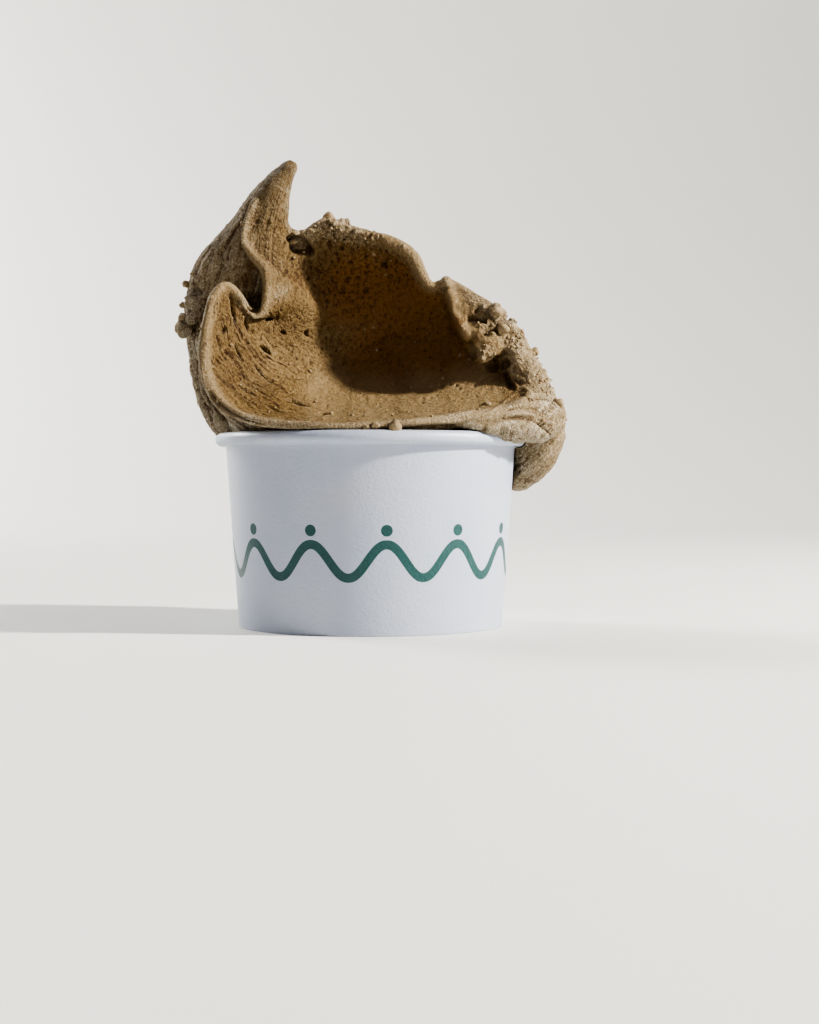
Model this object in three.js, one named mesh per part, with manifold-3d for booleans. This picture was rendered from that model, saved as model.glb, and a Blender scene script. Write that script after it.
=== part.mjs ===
// A small white paper tub heaped with brown gelato.
// The gelato fills the tub and rises out of it as one spatula-worked mass: a deep scooped face at the front,
// a tall horn and a rounded lobe at the left, a ragged ridge over the top, a folded flap at the right, and a
// tongue that runs over the rim and hangs down outside the wall.
// Millimetres. +X is right, +Y away from the viewer, +Z up, and the tub stands on z = 0.
import * as THREE from "three";
import { mergeVertices } from "three/addons/utils/BufferGeometryUtils.js";
import Module from "manifold-3d";

const wasm = await Module();
wasm.setup();

// Driving dimensions of the tub.
const RIM_RADIUS = 38;
const CUP_HEIGHT = 47;
const FOOT_RADIUS = 32.35;
const WALL_TOP_RADIUS = 35.4;
const PAPER = 0.6;
const BEAD_RADIUS = 1.6;
const HEM_HEIGHT = 5;
const HEM_THICKNESS = 1.3;
const GAP = 0.3;
const LATHE_STEPS = 72;
const FINEST_DETAIL = 0.08;

// Heights and radii that follow from them.
const BEAD_R = RIM_RADIUS - BEAD_RADIUS;
const BEAD_Z = CUP_HEIGHT - BEAD_RADIUS;
const WALL_TOP_Z = CUP_HEIGHT - 2 * BEAD_RADIUS;
const BASE_Z = HEM_HEIGHT + GAP;
const FLOOR_Z = BASE_Z + PAPER + GAP;
const wallRadius = (z) => FOOT_RADIUS + ((WALL_TOP_RADIUS - FOOT_RADIUS) * z) / WALL_TOP_Z;
const fillRadius = (z) => wallRadius(z) - PAPER - GAP;

// The scooped face: its deepest point, and the mouth where the mass enters the tub.
const FACE_DEEP = [3, 12, 71];
const MOUTH_Z = 46;
const FOOT_TURN_Z = 60;
const FOOT_TURN_SCALE = 2;

// The lip of the scooped face, clockwise from the middle of the front rim as the viewer sees it:
// x, y, z of the lip's centre line, its radius, its curl in degrees (0 points outwards, 90 at the viewer), and
// its pull, how far the face runs straight back from it as a share of the way to the deep point.
const LIP = [
  [1, -34.6, 47.9, 0.9, 80, 0.42],
  [-8.5, -34.6, 47.5, 1.0, 80, 0.42],
  [-18, -32.0, 48.1, 1.1, 80, 0.36],
  [-28, -28.6, 49.8, 1.2, 80, 0.28],
  [-34.9, -23.2, 54.3, 1.3, 76, 0.20],
  [-38.1, -20.2, 60.5, 1.3, 70, 0.15],
  [-38.6, -19.2, 67.0, 1.3, 66, 0.12],
  [-37.8, -18.7, 73.4, 1.3, 64, 0.10],
  [-36.4, -18.2, 78.8, 1.3, 64, 0.10],
  [-33.8, -16.8, 81.4, 1.3, 72, 0.07],
  [-31.0, -14.0, 79.4, 1.1, 84, 0.05],
  [-29.2, -11.0, 76.4, 0.7, 80, 0.05],
  [-27.6, -8.8, 74.6, 0.7, 55, 0.12],
  [-25.5, -7.8, 77.2, 1.1, 42, 0.25],
  [-24.9, -6.8, 82.0, 1.3, 40, 0.30],
  [-25.6, -6.4, 86.6, 1.4, 38, 0.34],
  [-28.6, -6.0, 90.0, 0.8, 36, 0.36],
  [-30.8, -5.2, 93.6, 0.6, 34, 0.36],
  [-30.2, -4.4, 98.6, 0.6, 30, 0.36],
  [-27.4, -3.2, 103.6, 1.0, 25, 0.38],
  [-23.8, 1.5, 101.0, 1.4, 15, 0.40],
  [-20.3, 3.4, 97.4, 1.5, 16, 0.42],
  [-16.5, 4.0, 96.2, 1.6, 22, 0.40],
  [-10.9, 3.4, 98.4, 2.4, 30, 0.36],
  [-3.5, 2.8, 96.6, 1.8, 36, 0.32],
  [4.5, 2.0, 94.4, 1.7, 40, 0.30],
  [10.1, 1.0, 90.7, 1.8, 42, 0.28],
  [12.6, 0.4, 86.1, 1.6, 42, 0.28],
  [14.9, 0.8, 83.4, 1.3, 32, 0.30],
  [18.4, 0.8, 83.8, 1.6, 30, 0.36],
  [24.0, 2.0, 79.4, 2.0, 30, 0.42],
  [29.5, -1.0, 75.2, 2.6, 40, 0.42],
  [33.8, -4.6, 70.2, 3.6, 56, 0.18],
  [36.4, -7.8, 64.4, 4.0, 62, 0.10],
  [39.6, -10.8, 58.0, 4.0, 66, 0.08],
  [38.8, -16.0, 53.4, 3.2, 74, 0.12],
  [31.5, -23.6, 50.8, 2.4, 80, 0.30],
  [21.5, -29.4, 50.0, 1.4, 82, 0.42],
  [11.5, -33.3, 48.8, 0.9, 80, 0.42],
];

// Tongues and rolls of gelato: centre line x, y, z, half width, half thickness, twist in degrees, bend in mm.
const HORN = [
  [-20, 11, 40, 10, 12, 0, 0],
  [-24.5, 11.5, 49, 12.6, 12, 0, 0],
  [-29.4, 12, 58, 14.4, 11, 0, 0],
  [-32.0, 11.5, 70, 14.4, 10.5, 0, 0],
  [-31.6, 9.5, 81, 14.6, 9.0, 0, 0],
  [-30.2, 5.5, 88, 12.6, 8.6, 0, 0],
  [-28.4, 3.6, 94.5, 8.8, 7.6, 0, 0],
  [-25.6, 1, 102, 5.6, 5.5, 0, 0],
  [-22.6, -1, 108, 3.6, 3.6, 0, 0],
  [-20.0, -2, 111.6, 2.2, 2.2, 0, 0],
];
const FLAP = [
  [18.6, 3.2, 84.6, 1.6, 1.4, -14, 0],
  [22.2, -0.5, 80.6, 3.2, 2.0, -14, 0],
  [26.6, -4.5, 74.6, 5.6, 2.6, -14, 0.6],
  [28.6, -8.0, 69.6, 5.2, 2.8, -14, 0.8],
  [27.6, -10.2, 65.8, 2.4, 2.2, -14, 0],
];
const SHOULDER = [
  [19, -29.0, 49.4, 1.2, 0.9, 0, 0],
  [24.5, -25.6, 48.6, 3.4, 2.2, 0, 0],
  [32, -19.0, 48.4, 6.0, 4.0, 0, 0],
  [39.0, -9.0, 49.6, 7.2, 5.4, 0, 0],
  [38.8, 2.0, 52.0, 8.4, 7.4, 0, 0],
  [33, 12.0, 54.0, 8.0, 8.0, 0, 0],
];
const DRIP = [
  [36.0, 1.0, 56, 8.5, 9.5, 0, 0],
  [40.6, 2.0, 49, 7.6, 9.5, 0, 0],
  [40.4, 3.0, 43, 6.8, 8.6, 0, 0],
  [39.0, 3.8, 39, 5.4, 7.0, 0, 0],
  [37.6, 4.2, 37.0, 4.0, 5.0, 0, 0],
];

// Lumps that stand proud of the torn edges: the band they follow, how many, their size and their scatter.
const CRAG_BANDS = [
  { from: [29.5, -7, 79], to: [38.6, -6, 68], count: 8, size: 2.3, scatter: 2.2 },
  { from: [38.4, -9, 68], to: [43.5, -8, 54], count: 8, size: 2.0, scatter: 2.2 },
  { from: [-14, 6, 99.4], to: [-4, 7, 98.4], count: 5, size: 1.7, scatter: 0.8 },
  { from: [-45.0, 4, 73], to: [-42.6, 4, 86], count: 4, size: 1.9, scatter: 1.0 },
];

// A repeatable draw between 0 and 1.
let seed = 7;
const draw = () => {
  seed = (seed * 16807) % 2147483647;
  return seed / 2147483647;
};

// Uniform Catmull-Rom through rows of numbers, t from 0 to 1 along them.
function spline(rows, t, closed) {
  const n = rows.length;
  const s = Math.min(Math.max(t, 0), 1) * (closed ? n : n - 1);
  const i = Math.min(Math.floor(s), closed ? n - 1 : n - 2);
  const f = s - i;
  const at = (k) => rows[closed ? (k + n) % n : Math.min(Math.max(k, 0), n - 1)];
  const [a, b, c, d] = [at(i - 1), at(i), at(i + 1), at(i + 2)];
  return b.map(
    (_, j) =>
      b[j] +
      0.5 * f * (c[j] - a[j] + f * (2 * a[j] - 5 * b[j] + 4 * c[j] - d[j] + f * (3 * (b[j] - c[j]) + d[j] - a[j]))),
  );
}

const vec = (p) => new THREE.Vector3(p[0], p[1], p[2]);
const bezier = (p, t) => {
  const s = 1 - t;
  return new THREE.Vector3()
    .addScaledVector(p[0], s * s * s)
    .addScaledVector(p[1], 3 * s * s * t)
    .addScaledVector(p[2], 3 * s * t * t)
    .addScaledVector(p[3], t * t * t);
};

// A closed solid from rings of points, with a pole at each end; it is turned round if it came out inside out.
function skin(rings, firstPole, lastPole) {
  const n = rings[0].length;
  const points = [firstPole, ...rings.flat(), lastPole];
  const last = points.length - 1;
  const faces = [];
  for (let j = 0; j < n; j++) {
    const k = (j + 1) % n;
    faces.push([0, 1 + k, 1 + j]);
    faces.push([last, last - n + j, last - n + k]);
    for (let i = 0; i < rings.length - 1; i++) {
      const a = 1 + i * n;
      faces.push([a + j, a + k, a + n + k], [a + j, a + n + k, a + n + j]);
    }
  }
  const build = (list) =>
    new wasm.Manifold(
      new wasm.Mesh({
        numProp: 3,
        vertProperties: new Float32Array(points.flatMap((p) => [p.x, p.y, p.z])),
        triVerts: new Uint32Array(list.flat()),
      }),
    );
  const made = build(faces);
  return made.volume() > 0 ? made : build(faces.map(([a, b, c]) => [a, c, b]));
}

// The scooped mass: at each station of the lip a profile runs from the deep of the face, round the lip,
// down the outside and into the tub, where it follows the wall to the floor.
const STATIONS = 88;
const FACE_STEPS = 9;
const LIP_STEPS = 3;
const OUTSIDE_STEPS = 7;
const FACE_EASE = 40;
const OUTSIDE_EASE = 6;

function lipFrame(t) {
  const step = 0.002;
  const [x, y, z, radius, curl, pull] = spline(LIP, t, true);
  const ahead = vec(spline(LIP, (t + step) % 1, true));
  const behind = vec(spline(LIP, (t - step + 1) % 1, true));
  const along = ahead.sub(behind).normalize();
  const outwards = new THREE.Vector3(x - FACE_DEEP[0], 0, z - FACE_DEEP[2]).normalize();
  const angle = THREE.MathUtils.degToRad(curl);
  const crest = outwards.multiplyScalar(Math.cos(angle)).add(new THREE.Vector3(0, -Math.sin(angle), 0));
  const inner = along.clone().cross(crest).normalize();
  return { centre: new THREE.Vector3(x, y, z), radius, crest, inner, pull };
}

// Towards the low right of the lip the face is shallower: by how much, and between which x and z it comes on.
const SHALLOW = 1.15;
const SHALLOW_X = [8, 30];
const SHALLOW_Z = [82, 70];
const ramp = (value, start, end) => THREE.MathUtils.smoothstep((value - start) / (end - start), 0, 1);

function massProfile(t) {
  const { centre, radius, crest, inner, pull } = lipFrame(t);
  const deep = vec(FACE_DEEP);
  const reach = centre.distanceTo(deep);
  const faceEnd = centre.clone().addScaledVector(inner, radius);
  const shallow = SHALLOW * ramp(centre.x, ...SHALLOW_X) * ramp(centre.z, ...SHALLOW_Z);
  const flat = centre.clone().sub(deep).multiply(new THREE.Vector3(1, shallow, 1));
  const face = [
    deep,
    deep.clone().addScaledVector(flat, 0.5),
    faceEnd.clone().addScaledVector(crest, -pull * reach),
    faceEnd,
  ];
  const foot = new THREE.Vector3(centre.x, FOOT_TURN_SCALE * (centre.z - FOOT_TURN_Z), 0).normalize();
  const mouth = foot.clone().multiplyScalar(fillRadius(MOUTH_Z)).setZ(MOUTH_Z);
  const outerStart = centre.clone().addScaledVector(inner, -radius);
  const drop = outerStart.distanceTo(mouth);
  const outside = [
    outerStart,
    outerStart.clone().addScaledVector(crest, -0.3 * drop),
    mouth.clone().addScaledVector(foot, 0.16 * drop).add(new THREE.Vector3(0, 0, 0.34 * drop)),
    mouth,
  ];
  const points = [];
  for (let i = 1; i < FACE_STEPS; i++) points.push(bezier(face, i / FACE_STEPS));
  for (let i = 0; i <= LIP_STEPS; i++) {
    const a = (Math.PI * i) / LIP_STEPS;
    points.push(
      centre
        .clone()
        .addScaledVector(inner, radius * Math.cos(a))
        .addScaledVector(crest, radius * Math.sin(a)),
    );
  }
  for (let i = 1; i <= OUTSIDE_STEPS; i++) points.push(bezier(outside, i / OUTSIDE_STEPS));
  points.push(foot.clone().multiplyScalar(fillRadius(FLOOR_Z)).setZ(FLOOR_Z));
  return points;
}

// Each ring is eased round the loop, most at the deep of the face and at the floor and not at all at the lip,
// so that the face is one smooth bowl and the outside a smooth mound.
function eased(ring, passes) {
  const n = ring.length;
  let points = ring;
  for (let pass = 0; pass < passes; pass++)
    points = points.map((p, j) =>
      p
        .clone()
        .multiplyScalar(2)
        .add(points[(j + 1) % n])
        .add(points[(j + n - 1) % n])
        .multiplyScalar(0.25),
    );
  return points;
}

function scoopedMass() {
  const profiles = Array.from({ length: STATIONS }, (_, j) => massProfile(j / STATIONS));
  const rings = profiles[0].map((_, i) => {
    const ring = profiles.map((p) => p[i]);
    if (i < FACE_STEPS - 1) return eased(ring, Math.round(FACE_EASE * (1 - (i + 1) / FACE_STEPS) ** 2));
    const outside = i - FACE_STEPS - LIP_STEPS + 1;
    if (outside > 0 && outside < OUTSIDE_STEPS) return eased(ring, Math.round((OUTSIDE_EASE * outside) / OUTSIDE_STEPS));
    return ring;
  });
  return skin(rings, vec(FACE_DEEP), new THREE.Vector3(0, 0, FLOOR_Z));
}

// A tongue: flattened rings carried along a centre line and rounded off at both ends. Its width lies across
// the line and the reference direction, and bend curls both edges towards the viewer or upwards.
function tongue(rows, reference, steps, sides) {
  const ring = (share, capAngle) => {
    const [x, y, z, width, thick, twist, bend] = spline(rows, share, false);
    const ahead = vec(spline(rows, Math.min(share + 0.01, 1), false));
    const along = ahead.sub(vec(spline(rows, Math.max(share - 0.01, 0), false))).normalize();
    const depth = vec(reference).addScaledVector(along, -along.dot(vec(reference))).normalize();
    const across = depth.clone().cross(along);
    const turn = THREE.MathUtils.degToRad(twist);
    const wide = across.clone().multiplyScalar(Math.cos(turn)).addScaledVector(depth, Math.sin(turn));
    const deep = depth.clone().multiplyScalar(Math.cos(turn)).addScaledVector(across, -Math.sin(turn));
    const capReach = 0.5 * (width + thick);
    const centre = new THREE.Vector3(x, y, z).addScaledVector(along, capReach * Math.sin(capAngle));
    const size = Math.cos(capAngle);
    return Array.from({ length: sides }, (_, k) => {
      const a = (2 * Math.PI * k) / sides;
      return centre
        .clone()
        .addScaledVector(wide, width * size * Math.cos(a))
        .addScaledVector(deep, thick * size * Math.sin(a) - bend * size * Math.cos(a) ** 2);
    });
  };
  const capAngles = [30, 60].map(THREE.MathUtils.degToRad);
  const rings = [
    ...capAngles.toReversed().map((a) => ring(0, -a)),
    ...Array.from({ length: steps + 1 }, (_, i) => ring(i / steps, 0)),
    ...capAngles.map((a) => ring(1, a)),
  ];
  const quarter = Math.PI / 2;
  return skin(rings, ring(0, -quarter)[0], ring(1, quarter)[0]);
}

// Rounded lumps scattered along a straight band.
function crags(band) {
  return Array.from({ length: band.count }, (_, i) => {
    const share = (i + 0.5) / band.count;
    const place = vec(band.from).lerp(vec(band.to), share);
    const jitter = () => (2 * draw() - 1) * band.scatter;
    place.add(new THREE.Vector3(jitter(), jitter(), jitter()));
    const size = band.size * (0.65 + 0.6 * draw());
    const ball = new THREE.IcosahedronGeometry(size, 1).scale(1, 0.9, 0.8);
    ball.rotateZ(draw() * Math.PI).translate(place.x, place.y, place.z);
    return solidOf(ball);
  });
}

// A three.js geometry as a solid, and a solid as a three.js geometry.
function solidOf(geometry) {
  geometry.deleteAttribute("normal");
  geometry.deleteAttribute("uv");
  const merged = mergeVertices(geometry, 1e-4);
  return new wasm.Manifold(
    new wasm.Mesh({
      numProp: 3,
      vertProperties: merged.attributes.position.array,
      triVerts: new Uint32Array(merged.index.array),
    }),
  );
}

function geometryOf(solid) {
  const mesh = solid.getMesh();
  const geometry = new THREE.BufferGeometry();
  geometry.setAttribute("position", new THREE.BufferAttribute(mesh.vertProperties, 3));
  geometry.setIndex(new THREE.BufferAttribute(mesh.triVerts, 1));
  return geometry;
}

// A lathe round the tub's own upright axis from [radius, height] pairs that run up the outside.
function turned(profile) {
  const lathe = new THREE.LatheGeometry(
    profile.map(([r, z]) => new THREE.Vector2(r, z)),
    LATHE_STEPS,
  );
  return lathe.rotateX(Math.PI / 2);
}

// Part of the rolled bead's round section, from one angle to another in degrees.
function beadArc(radius, from, to, steps) {
  return Array.from({ length: steps + 1 }, (_, i) => {
    const a = THREE.MathUtils.degToRad(from + ((to - from) * i) / steps);
    return [BEAD_R + radius * Math.cos(a), BEAD_Z + radius * Math.sin(a)];
  });
}

// The side wall is one sheet of board: hem folded in at the foot, bead rolled out at the rim.
function sideWall() {
  const hemInside = (z) => wallRadius(z) - HEM_THICKNESS;
  return turned([
    [hemInside(0), 0],
    [FOOT_RADIUS, 0],
    [WALL_TOP_RADIUS, WALL_TOP_Z],
    ...beadArc(BEAD_RADIUS, -100, 180, 9),
    [wallRadius(WALL_TOP_Z) - PAPER, WALL_TOP_Z],
    [wallRadius(HEM_HEIGHT) - PAPER, HEM_HEIGHT + 0.01],
    [hemInside(HEM_HEIGHT), HEM_HEIGHT],
    [hemInside(0), 0],
  ]);
}

// The base is a disc that lies on the hem's upper edge.
function baseDisc() {
  const edge = wallRadius(BASE_Z) - PAPER - GAP;
  return turned([
    [0, BASE_Z],
    [edge, BASE_Z],
    [edge, BASE_Z + PAPER],
    [0, BASE_Z + PAPER],
  ]);
}

// The space that the side wall needs, with the gap left round it.
function wallClearance() {
  const inside = (z) => fillRadius(z) + GAP / 10;
  return turned([
    [inside(0), 0],
    [wallRadius(0) + GAP, 0],
    [wallRadius(WALL_TOP_Z) + GAP, WALL_TOP_Z - GAP],
    ...beadArc(BEAD_RADIUS + GAP, -95, 180, 9),
    [inside(WALL_TOP_Z), WALL_TOP_Z],
    [inside(0), 0],
  ]);
}

function gelato() {
  const pieces = [
    scoopedMass(),
    tongue(HORN, [0, 1, 0], 12, 18),
    tongue(FLAP, [0, 1, 0], 8, 14),
    tongue(SHOULDER, [0, 0, 1], 10, 14),
    tongue(DRIP, [0, 1, 0], 8, 14),
    ...CRAG_BANDS.flatMap(crags),
  ];
  const joined = pieces.reduce((sum, piece) => sum.add(piece));
  const cut = joined.subtract(solidOf(wallClearance()));
  const largest = cut.decompose().reduce((a, b) => (a.volume() > b.volume() ? a : b));
  return geometryOf(largest.simplify(FINEST_DETAIL));
}

const materials = {
  gelato: new THREE.MeshStandardMaterial({ color: 0x9a7444, roughness: 0.62, metalness: 0 }),
  board: new THREE.MeshStandardMaterial({ color: 0xe9eaec, roughness: 0.55, metalness: 0 }),
};

const tub = new THREE.Group();
const add = (name, geometry, material) => {
  const mesh = new THREE.Mesh(geometry, material);
  mesh.name = name;
  tub.add(mesh);
  return mesh;
};
add("cup_wall", sideWall(), materials.board);
add("cup_base", baseDisc(), materials.board);
add("gelato", gelato(), materials.gelato);

// The origin is under the middle of the whole object's outline, on the surface it stands on.
const outline = new THREE.Box3().setFromObject(tub);
const middle = outline.getCenter(new THREE.Vector3());
tub.position.set(-middle.x, -middle.y, 0);

export default tub;
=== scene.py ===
"""Brown gelato in a white paper tub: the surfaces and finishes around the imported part.

The gelato is worked out in millimetres round the tub's own upright axis, with +X to the right, +Y away
from the camera and +Z up, and is put in its place in metres when its mesh is made.
"""
import itertools
import math

import bpy
import numpy as np
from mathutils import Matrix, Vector


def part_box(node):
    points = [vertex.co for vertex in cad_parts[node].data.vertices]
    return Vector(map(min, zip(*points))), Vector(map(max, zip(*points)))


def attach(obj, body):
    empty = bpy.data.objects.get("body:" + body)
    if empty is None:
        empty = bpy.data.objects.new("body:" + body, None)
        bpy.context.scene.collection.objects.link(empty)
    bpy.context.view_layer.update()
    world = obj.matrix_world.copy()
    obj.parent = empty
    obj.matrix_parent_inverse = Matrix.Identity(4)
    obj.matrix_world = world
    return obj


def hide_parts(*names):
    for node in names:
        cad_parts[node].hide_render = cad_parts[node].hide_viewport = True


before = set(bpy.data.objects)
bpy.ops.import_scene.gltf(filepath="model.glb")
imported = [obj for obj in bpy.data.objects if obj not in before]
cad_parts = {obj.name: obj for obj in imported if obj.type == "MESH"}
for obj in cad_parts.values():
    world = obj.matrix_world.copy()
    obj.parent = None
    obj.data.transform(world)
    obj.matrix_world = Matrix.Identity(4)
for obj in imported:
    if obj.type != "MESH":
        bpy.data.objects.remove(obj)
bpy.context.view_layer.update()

MM = 0.001
WALL_LOW, WALL_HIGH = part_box("cup_wall")
AXIS = np.array([(WALL_LOW.x + WALL_HIGH.x) / 2, (WALL_LOW.y + WALL_HIGH.y) / 2, 0.0])
RIM_RADIUS = (WALL_HIGH.x - WALL_LOW.x) / 2 / MM
CUP_HEIGHT = WALL_HIGH.z / MM

# The tub, in millimetres
FOOT_RADIUS = 32.35
WALL_TOP_RADIUS = 35.4
PAPER = 0.6
BEAD_RADIUS = 1.6
GAP = 0.3
FLOOR_Z = 6.2
BEAD_R = RIM_RADIUS - BEAD_RADIUS
BEAD_Z = CUP_HEIGHT - BEAD_RADIUS
WALL_TOP_Z = CUP_HEIGHT - 2 * BEAD_RADIUS

# The scooped face: its deepest point, and the mouth where the gelato enters the tub
FACE_DEEP = np.array([3.0, 12.0, 71.0])
MOUTH_Z = 46
SUNK_Z = 38
SUNK_IN = 3
FOOT_TURN_Z = 60
FOOT_TURN_SCALE = 2

# The mass's profile. The face leaves its deep point by a share of the way to the lip; towards the low right
# of the lip its y is multiplied by SHALLOW there, which comes on between these x and z. The outside leaves
# the lip and comes to the mouth by shares of the drop between them. Both are eased round the loop.
FACE_SHARE = 0.5
SHALLOW = 1.15
SHALLOW_X = (8, 30)
SHALLOW_Z = (82, 70)
LIP_DROP = 0.3
MOUTH_OUT = 0.16
MOUTH_UP = 0.34
FACE_EASE = 0.051
OUTSIDE_EASE = 0.0197

# The lip of the scooped face, clockwise from the middle of the front rim:
# x, y, z of its centre line, its radius, its curl in degrees (0 points outwards, 90 at the viewer), and its
# pull, how far the face runs straight back from it as a share of the way to the deep point
LIP = [
    [1, -34.6, 47.9, 0.9, 80, 0.42],
    [-8.5, -34.6, 47.5, 1.0, 80, 0.42],
    [-18, -32.0, 48.1, 1.1, 80, 0.36],
    [-28, -28.6, 49.8, 1.2, 80, 0.28],
    [-34.9, -23.2, 54.3, 1.3, 76, 0.20],
    [-38.1, -20.2, 60.5, 1.3, 70, 0.15],
    [-38.6, -19.2, 67.0, 1.3, 66, 0.12],
    [-37.8, -18.7, 73.4, 1.3, 64, 0.10],
    [-36.4, -18.2, 78.8, 1.3, 64, 0.10],
    [-33.8, -16.8, 81.4, 1.3, 72, 0.07],
    [-31.0, -14.0, 79.4, 1.1, 84, 0.05],
    [-29.2, -11.0, 76.4, 0.7, 80, 0.05],
    [-27.6, -8.8, 74.6, 0.7, 55, 0.12],
    [-25.5, -7.8, 77.2, 1.1, 42, 0.25],
    [-24.9, -6.8, 82.0, 1.3, 40, 0.30],
    [-25.6, -6.4, 86.6, 1.4, 38, 0.34],
    [-28.6, -6.0, 90.0, 0.8, 36, 0.36],
    [-30.8, -5.2, 93.6, 0.6, 34, 0.36],
    [-30.2, -4.4, 98.6, 0.6, 30, 0.36],
    [-27.4, -3.2, 103.6, 1.0, 25, 0.38],
    [-23.8, 1.5, 101.0, 1.4, 15, 0.40],
    [-20.3, 3.4, 97.4, 1.5, 16, 0.42],
    [-16.5, 4.0, 96.2, 1.6, 22, 0.40],
    [-10.9, 3.4, 98.4, 2.4, 30, 0.36],
    [-3.5, 2.8, 96.6, 1.8, 36, 0.32],
    [4.5, 2.0, 94.4, 1.7, 40, 0.30],
    [10.1, 1.0, 90.7, 1.8, 42, 0.28],
    [12.6, 0.4, 86.1, 1.6, 42, 0.28],
    [14.9, 0.8, 83.4, 1.3, 32, 0.30],
    [18.4, 0.8, 83.8, 1.6, 30, 0.36],
    [24.0, 2.0, 79.4, 2.0, 30, 0.42],
    [29.5, -1.0, 75.2, 2.6, 40, 0.42],
    [33.8, -4.6, 70.2, 3.6, 56, 0.18],
    [36.4, -7.8, 64.4, 4.0, 62, 0.10],
    [39.6, -10.8, 58.0, 4.0, 66, 0.08],
    [38.8, -16.0, 53.4, 3.2, 74, 0.12],
    [31.5, -23.6, 50.8, 2.4, 80, 0.30],
    [21.5, -29.4, 50.0, 1.4, 82, 0.42],
    [11.5, -33.3, 48.8, 0.9, 80, 0.42],
]

# Tongues and rolls: centre line x, y, z, half width, half thickness, twist in degrees, bend
HORN = [
    [-20, 11, 40, 10, 12, 0, 0],
    [-24.5, 11.5, 49, 12.6, 12, 0, 0],
    [-29.4, 12, 58, 14.4, 11, 0, 0],
    [-32.0, 11.5, 70, 14.4, 10.5, 0, 0],
    [-31.6, 9.5, 81, 14.6, 9.0, 0, 0],
    [-30.2, 5.5, 88, 12.6, 8.6, 0, 0],
    [-28.4, 3.6, 94.5, 8.8, 7.6, 0, 0],
    [-25.6, 1, 102, 5.6, 5.5, 0, 0],
    [-22.6, -1, 108, 3.6, 3.6, 0, 0],
    [-20.0, -2, 111.6, 2.2, 2.2, 0, 0],
]
FLAP = [
    [18.6, 3.2, 84.6, 1.6, 1.4, -14, 0],
    [22.2, -0.5, 80.6, 3.2, 2.0, -14, 0],
    [26.6, -4.5, 74.6, 5.6, 2.6, -14, 0.6],
    [28.6, -8.0, 69.6, 5.2, 2.8, -14, 0.8],
    [27.6, -10.2, 65.8, 2.4, 2.2, -14, 0],
]
SHOULDER = [
    [19, -29.0, 49.4, 1.2, 0.9, 0, 0],
    [24.5, -25.6, 48.6, 3.4, 2.2, 0, 0],
    [32, -19.0, 48.4, 6.0, 4.0, 0, 0],
    [39.0, -9.0, 49.6, 7.2, 5.4, 0, 0],
    [38.8, 2.0, 52.0, 8.4, 7.4, 0, 0],
    [33, 12.0, 54.0, 8.0, 8.0, 0, 0],
]
DRIP = [
    [36.0, 1.0, 56, 8.5, 9.5, 0, 0],
    [40.6, 2.0, 49, 7.6, 9.5, 0, 0],
    [40.4, 3.0, 43, 6.8, 8.6, 0, 0],
    [39.0, 3.8, 39, 5.4, 7.0, 0, 0],
    [37.6, 4.2, 37.0, 4.0, 5.0, 0, 0],
]


def unit(vectors):
    """Each vector divided by its own length."""
    return vectors / np.maximum(np.linalg.norm(vectors, axis=-1, keepdims=True), 1e-12)


def spline(rows, share, closed=False):
    """Uniform Catmull-Rom through rows of numbers at shares 0 to 1 of the way along, as one array."""
    rows = np.asarray(rows, float)
    count = len(rows)
    place = np.clip(share, 0, 1) * (count if closed else count - 1)
    start = np.minimum(np.floor(place).astype(int), count - 1 if closed else count - 2)
    f = (place - start)[:, None]

    def at(k):
        return rows[k % count] if closed else rows[np.clip(k, 0, count - 1)]

    a, b, c, d = at(start - 1), at(start), at(start + 1), at(start + 2)
    return b + 0.5 * f * (c - a + f * (2 * a - 5 * b + 4 * c - d + f * (3 * (b - c) + d - a)))


def bezier(p, share):
    """Cubic Bezier: p holds its four corner points for each station, share runs along it."""
    s = share[:, None, None]
    r = 1 - s
    return r**3 * p[0] + 3 * r * r * s * p[1] + 3 * r * s * s * p[2] + s**3 * p[3]


def eased(rings, widths):
    """Each ring blurred round the loop by a Gaussian of its own width, given as a share of the loop."""
    waves = np.fft.rfft(rings, axis=1)
    k = np.arange(waves.shape[1])
    keep = np.exp(-0.5 * (2 * np.pi * k[None, :] * np.asarray(widths)[:, None]) ** 2)
    return np.fft.irfft(waves * keep[:, :, None], n=rings.shape[1], axis=1)


def closed_skin(rings, first_pole, last_pole):
    """Points and faces of a closed skin from stacked closed rings with a pole at each end."""
    rows, sides = rings.shape[:2]
    points = np.vstack([first_pole[None], rings.reshape(-1, 3), last_pole[None]])
    j = np.arange(sides)
    k = (j + 1) % sides
    last = len(points) - 1
    start = 1 + sides * np.arange(rows - 1)[:, None]
    quads = np.stack([start + j, start + k, start + sides + k, start + sides + j], -1).reshape(-1, 4)
    first_cap = np.stack([0 * j, 1 + k, 1 + j], -1)
    last_cap = np.stack([0 * j + last, last - sides + j, last - sides + k], -1)
    return points, [quads, first_cap, last_cap]


def wrapped_quads(rows, sides):
    """Faces of a grid of points that closes on itself both ways."""
    i, j = np.meshgrid(np.arange(rows), np.arange(sides), indexing="ij")
    k, n = (j + 1) % sides, (i + 1) % rows
    return np.stack([i * sides + j, i * sides + k, n * sides + k, n * sides + j], -1).reshape(-1, 4)


def lip_frames(share):
    """The lip's centre, radius, crest direction, inner side and pull at each share of the loop: the crest
    turns from outwards in the picture plane to the viewer by the curl; the inner side is along x crest."""
    step = 0.002
    rows = spline(LIP, share, closed=True)
    centre, radius, curl, pull = rows[:, :3], rows[:, 3:4], np.radians(rows[:, 4:5]), rows[:, 5:6]
    ahead, behind = (spline(LIP, (share + turn) % 1, True)[:, :3] for turn in (step, -step))
    along = unit(ahead - behind)
    outwards = unit((centre - FACE_DEEP) * [1, 0, 1])
    crest = outwards * np.cos(curl) + np.array([0, -1, 0]) * np.sin(curl)
    return centre, radius, crest, unit(np.cross(along, crest)), pull


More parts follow.
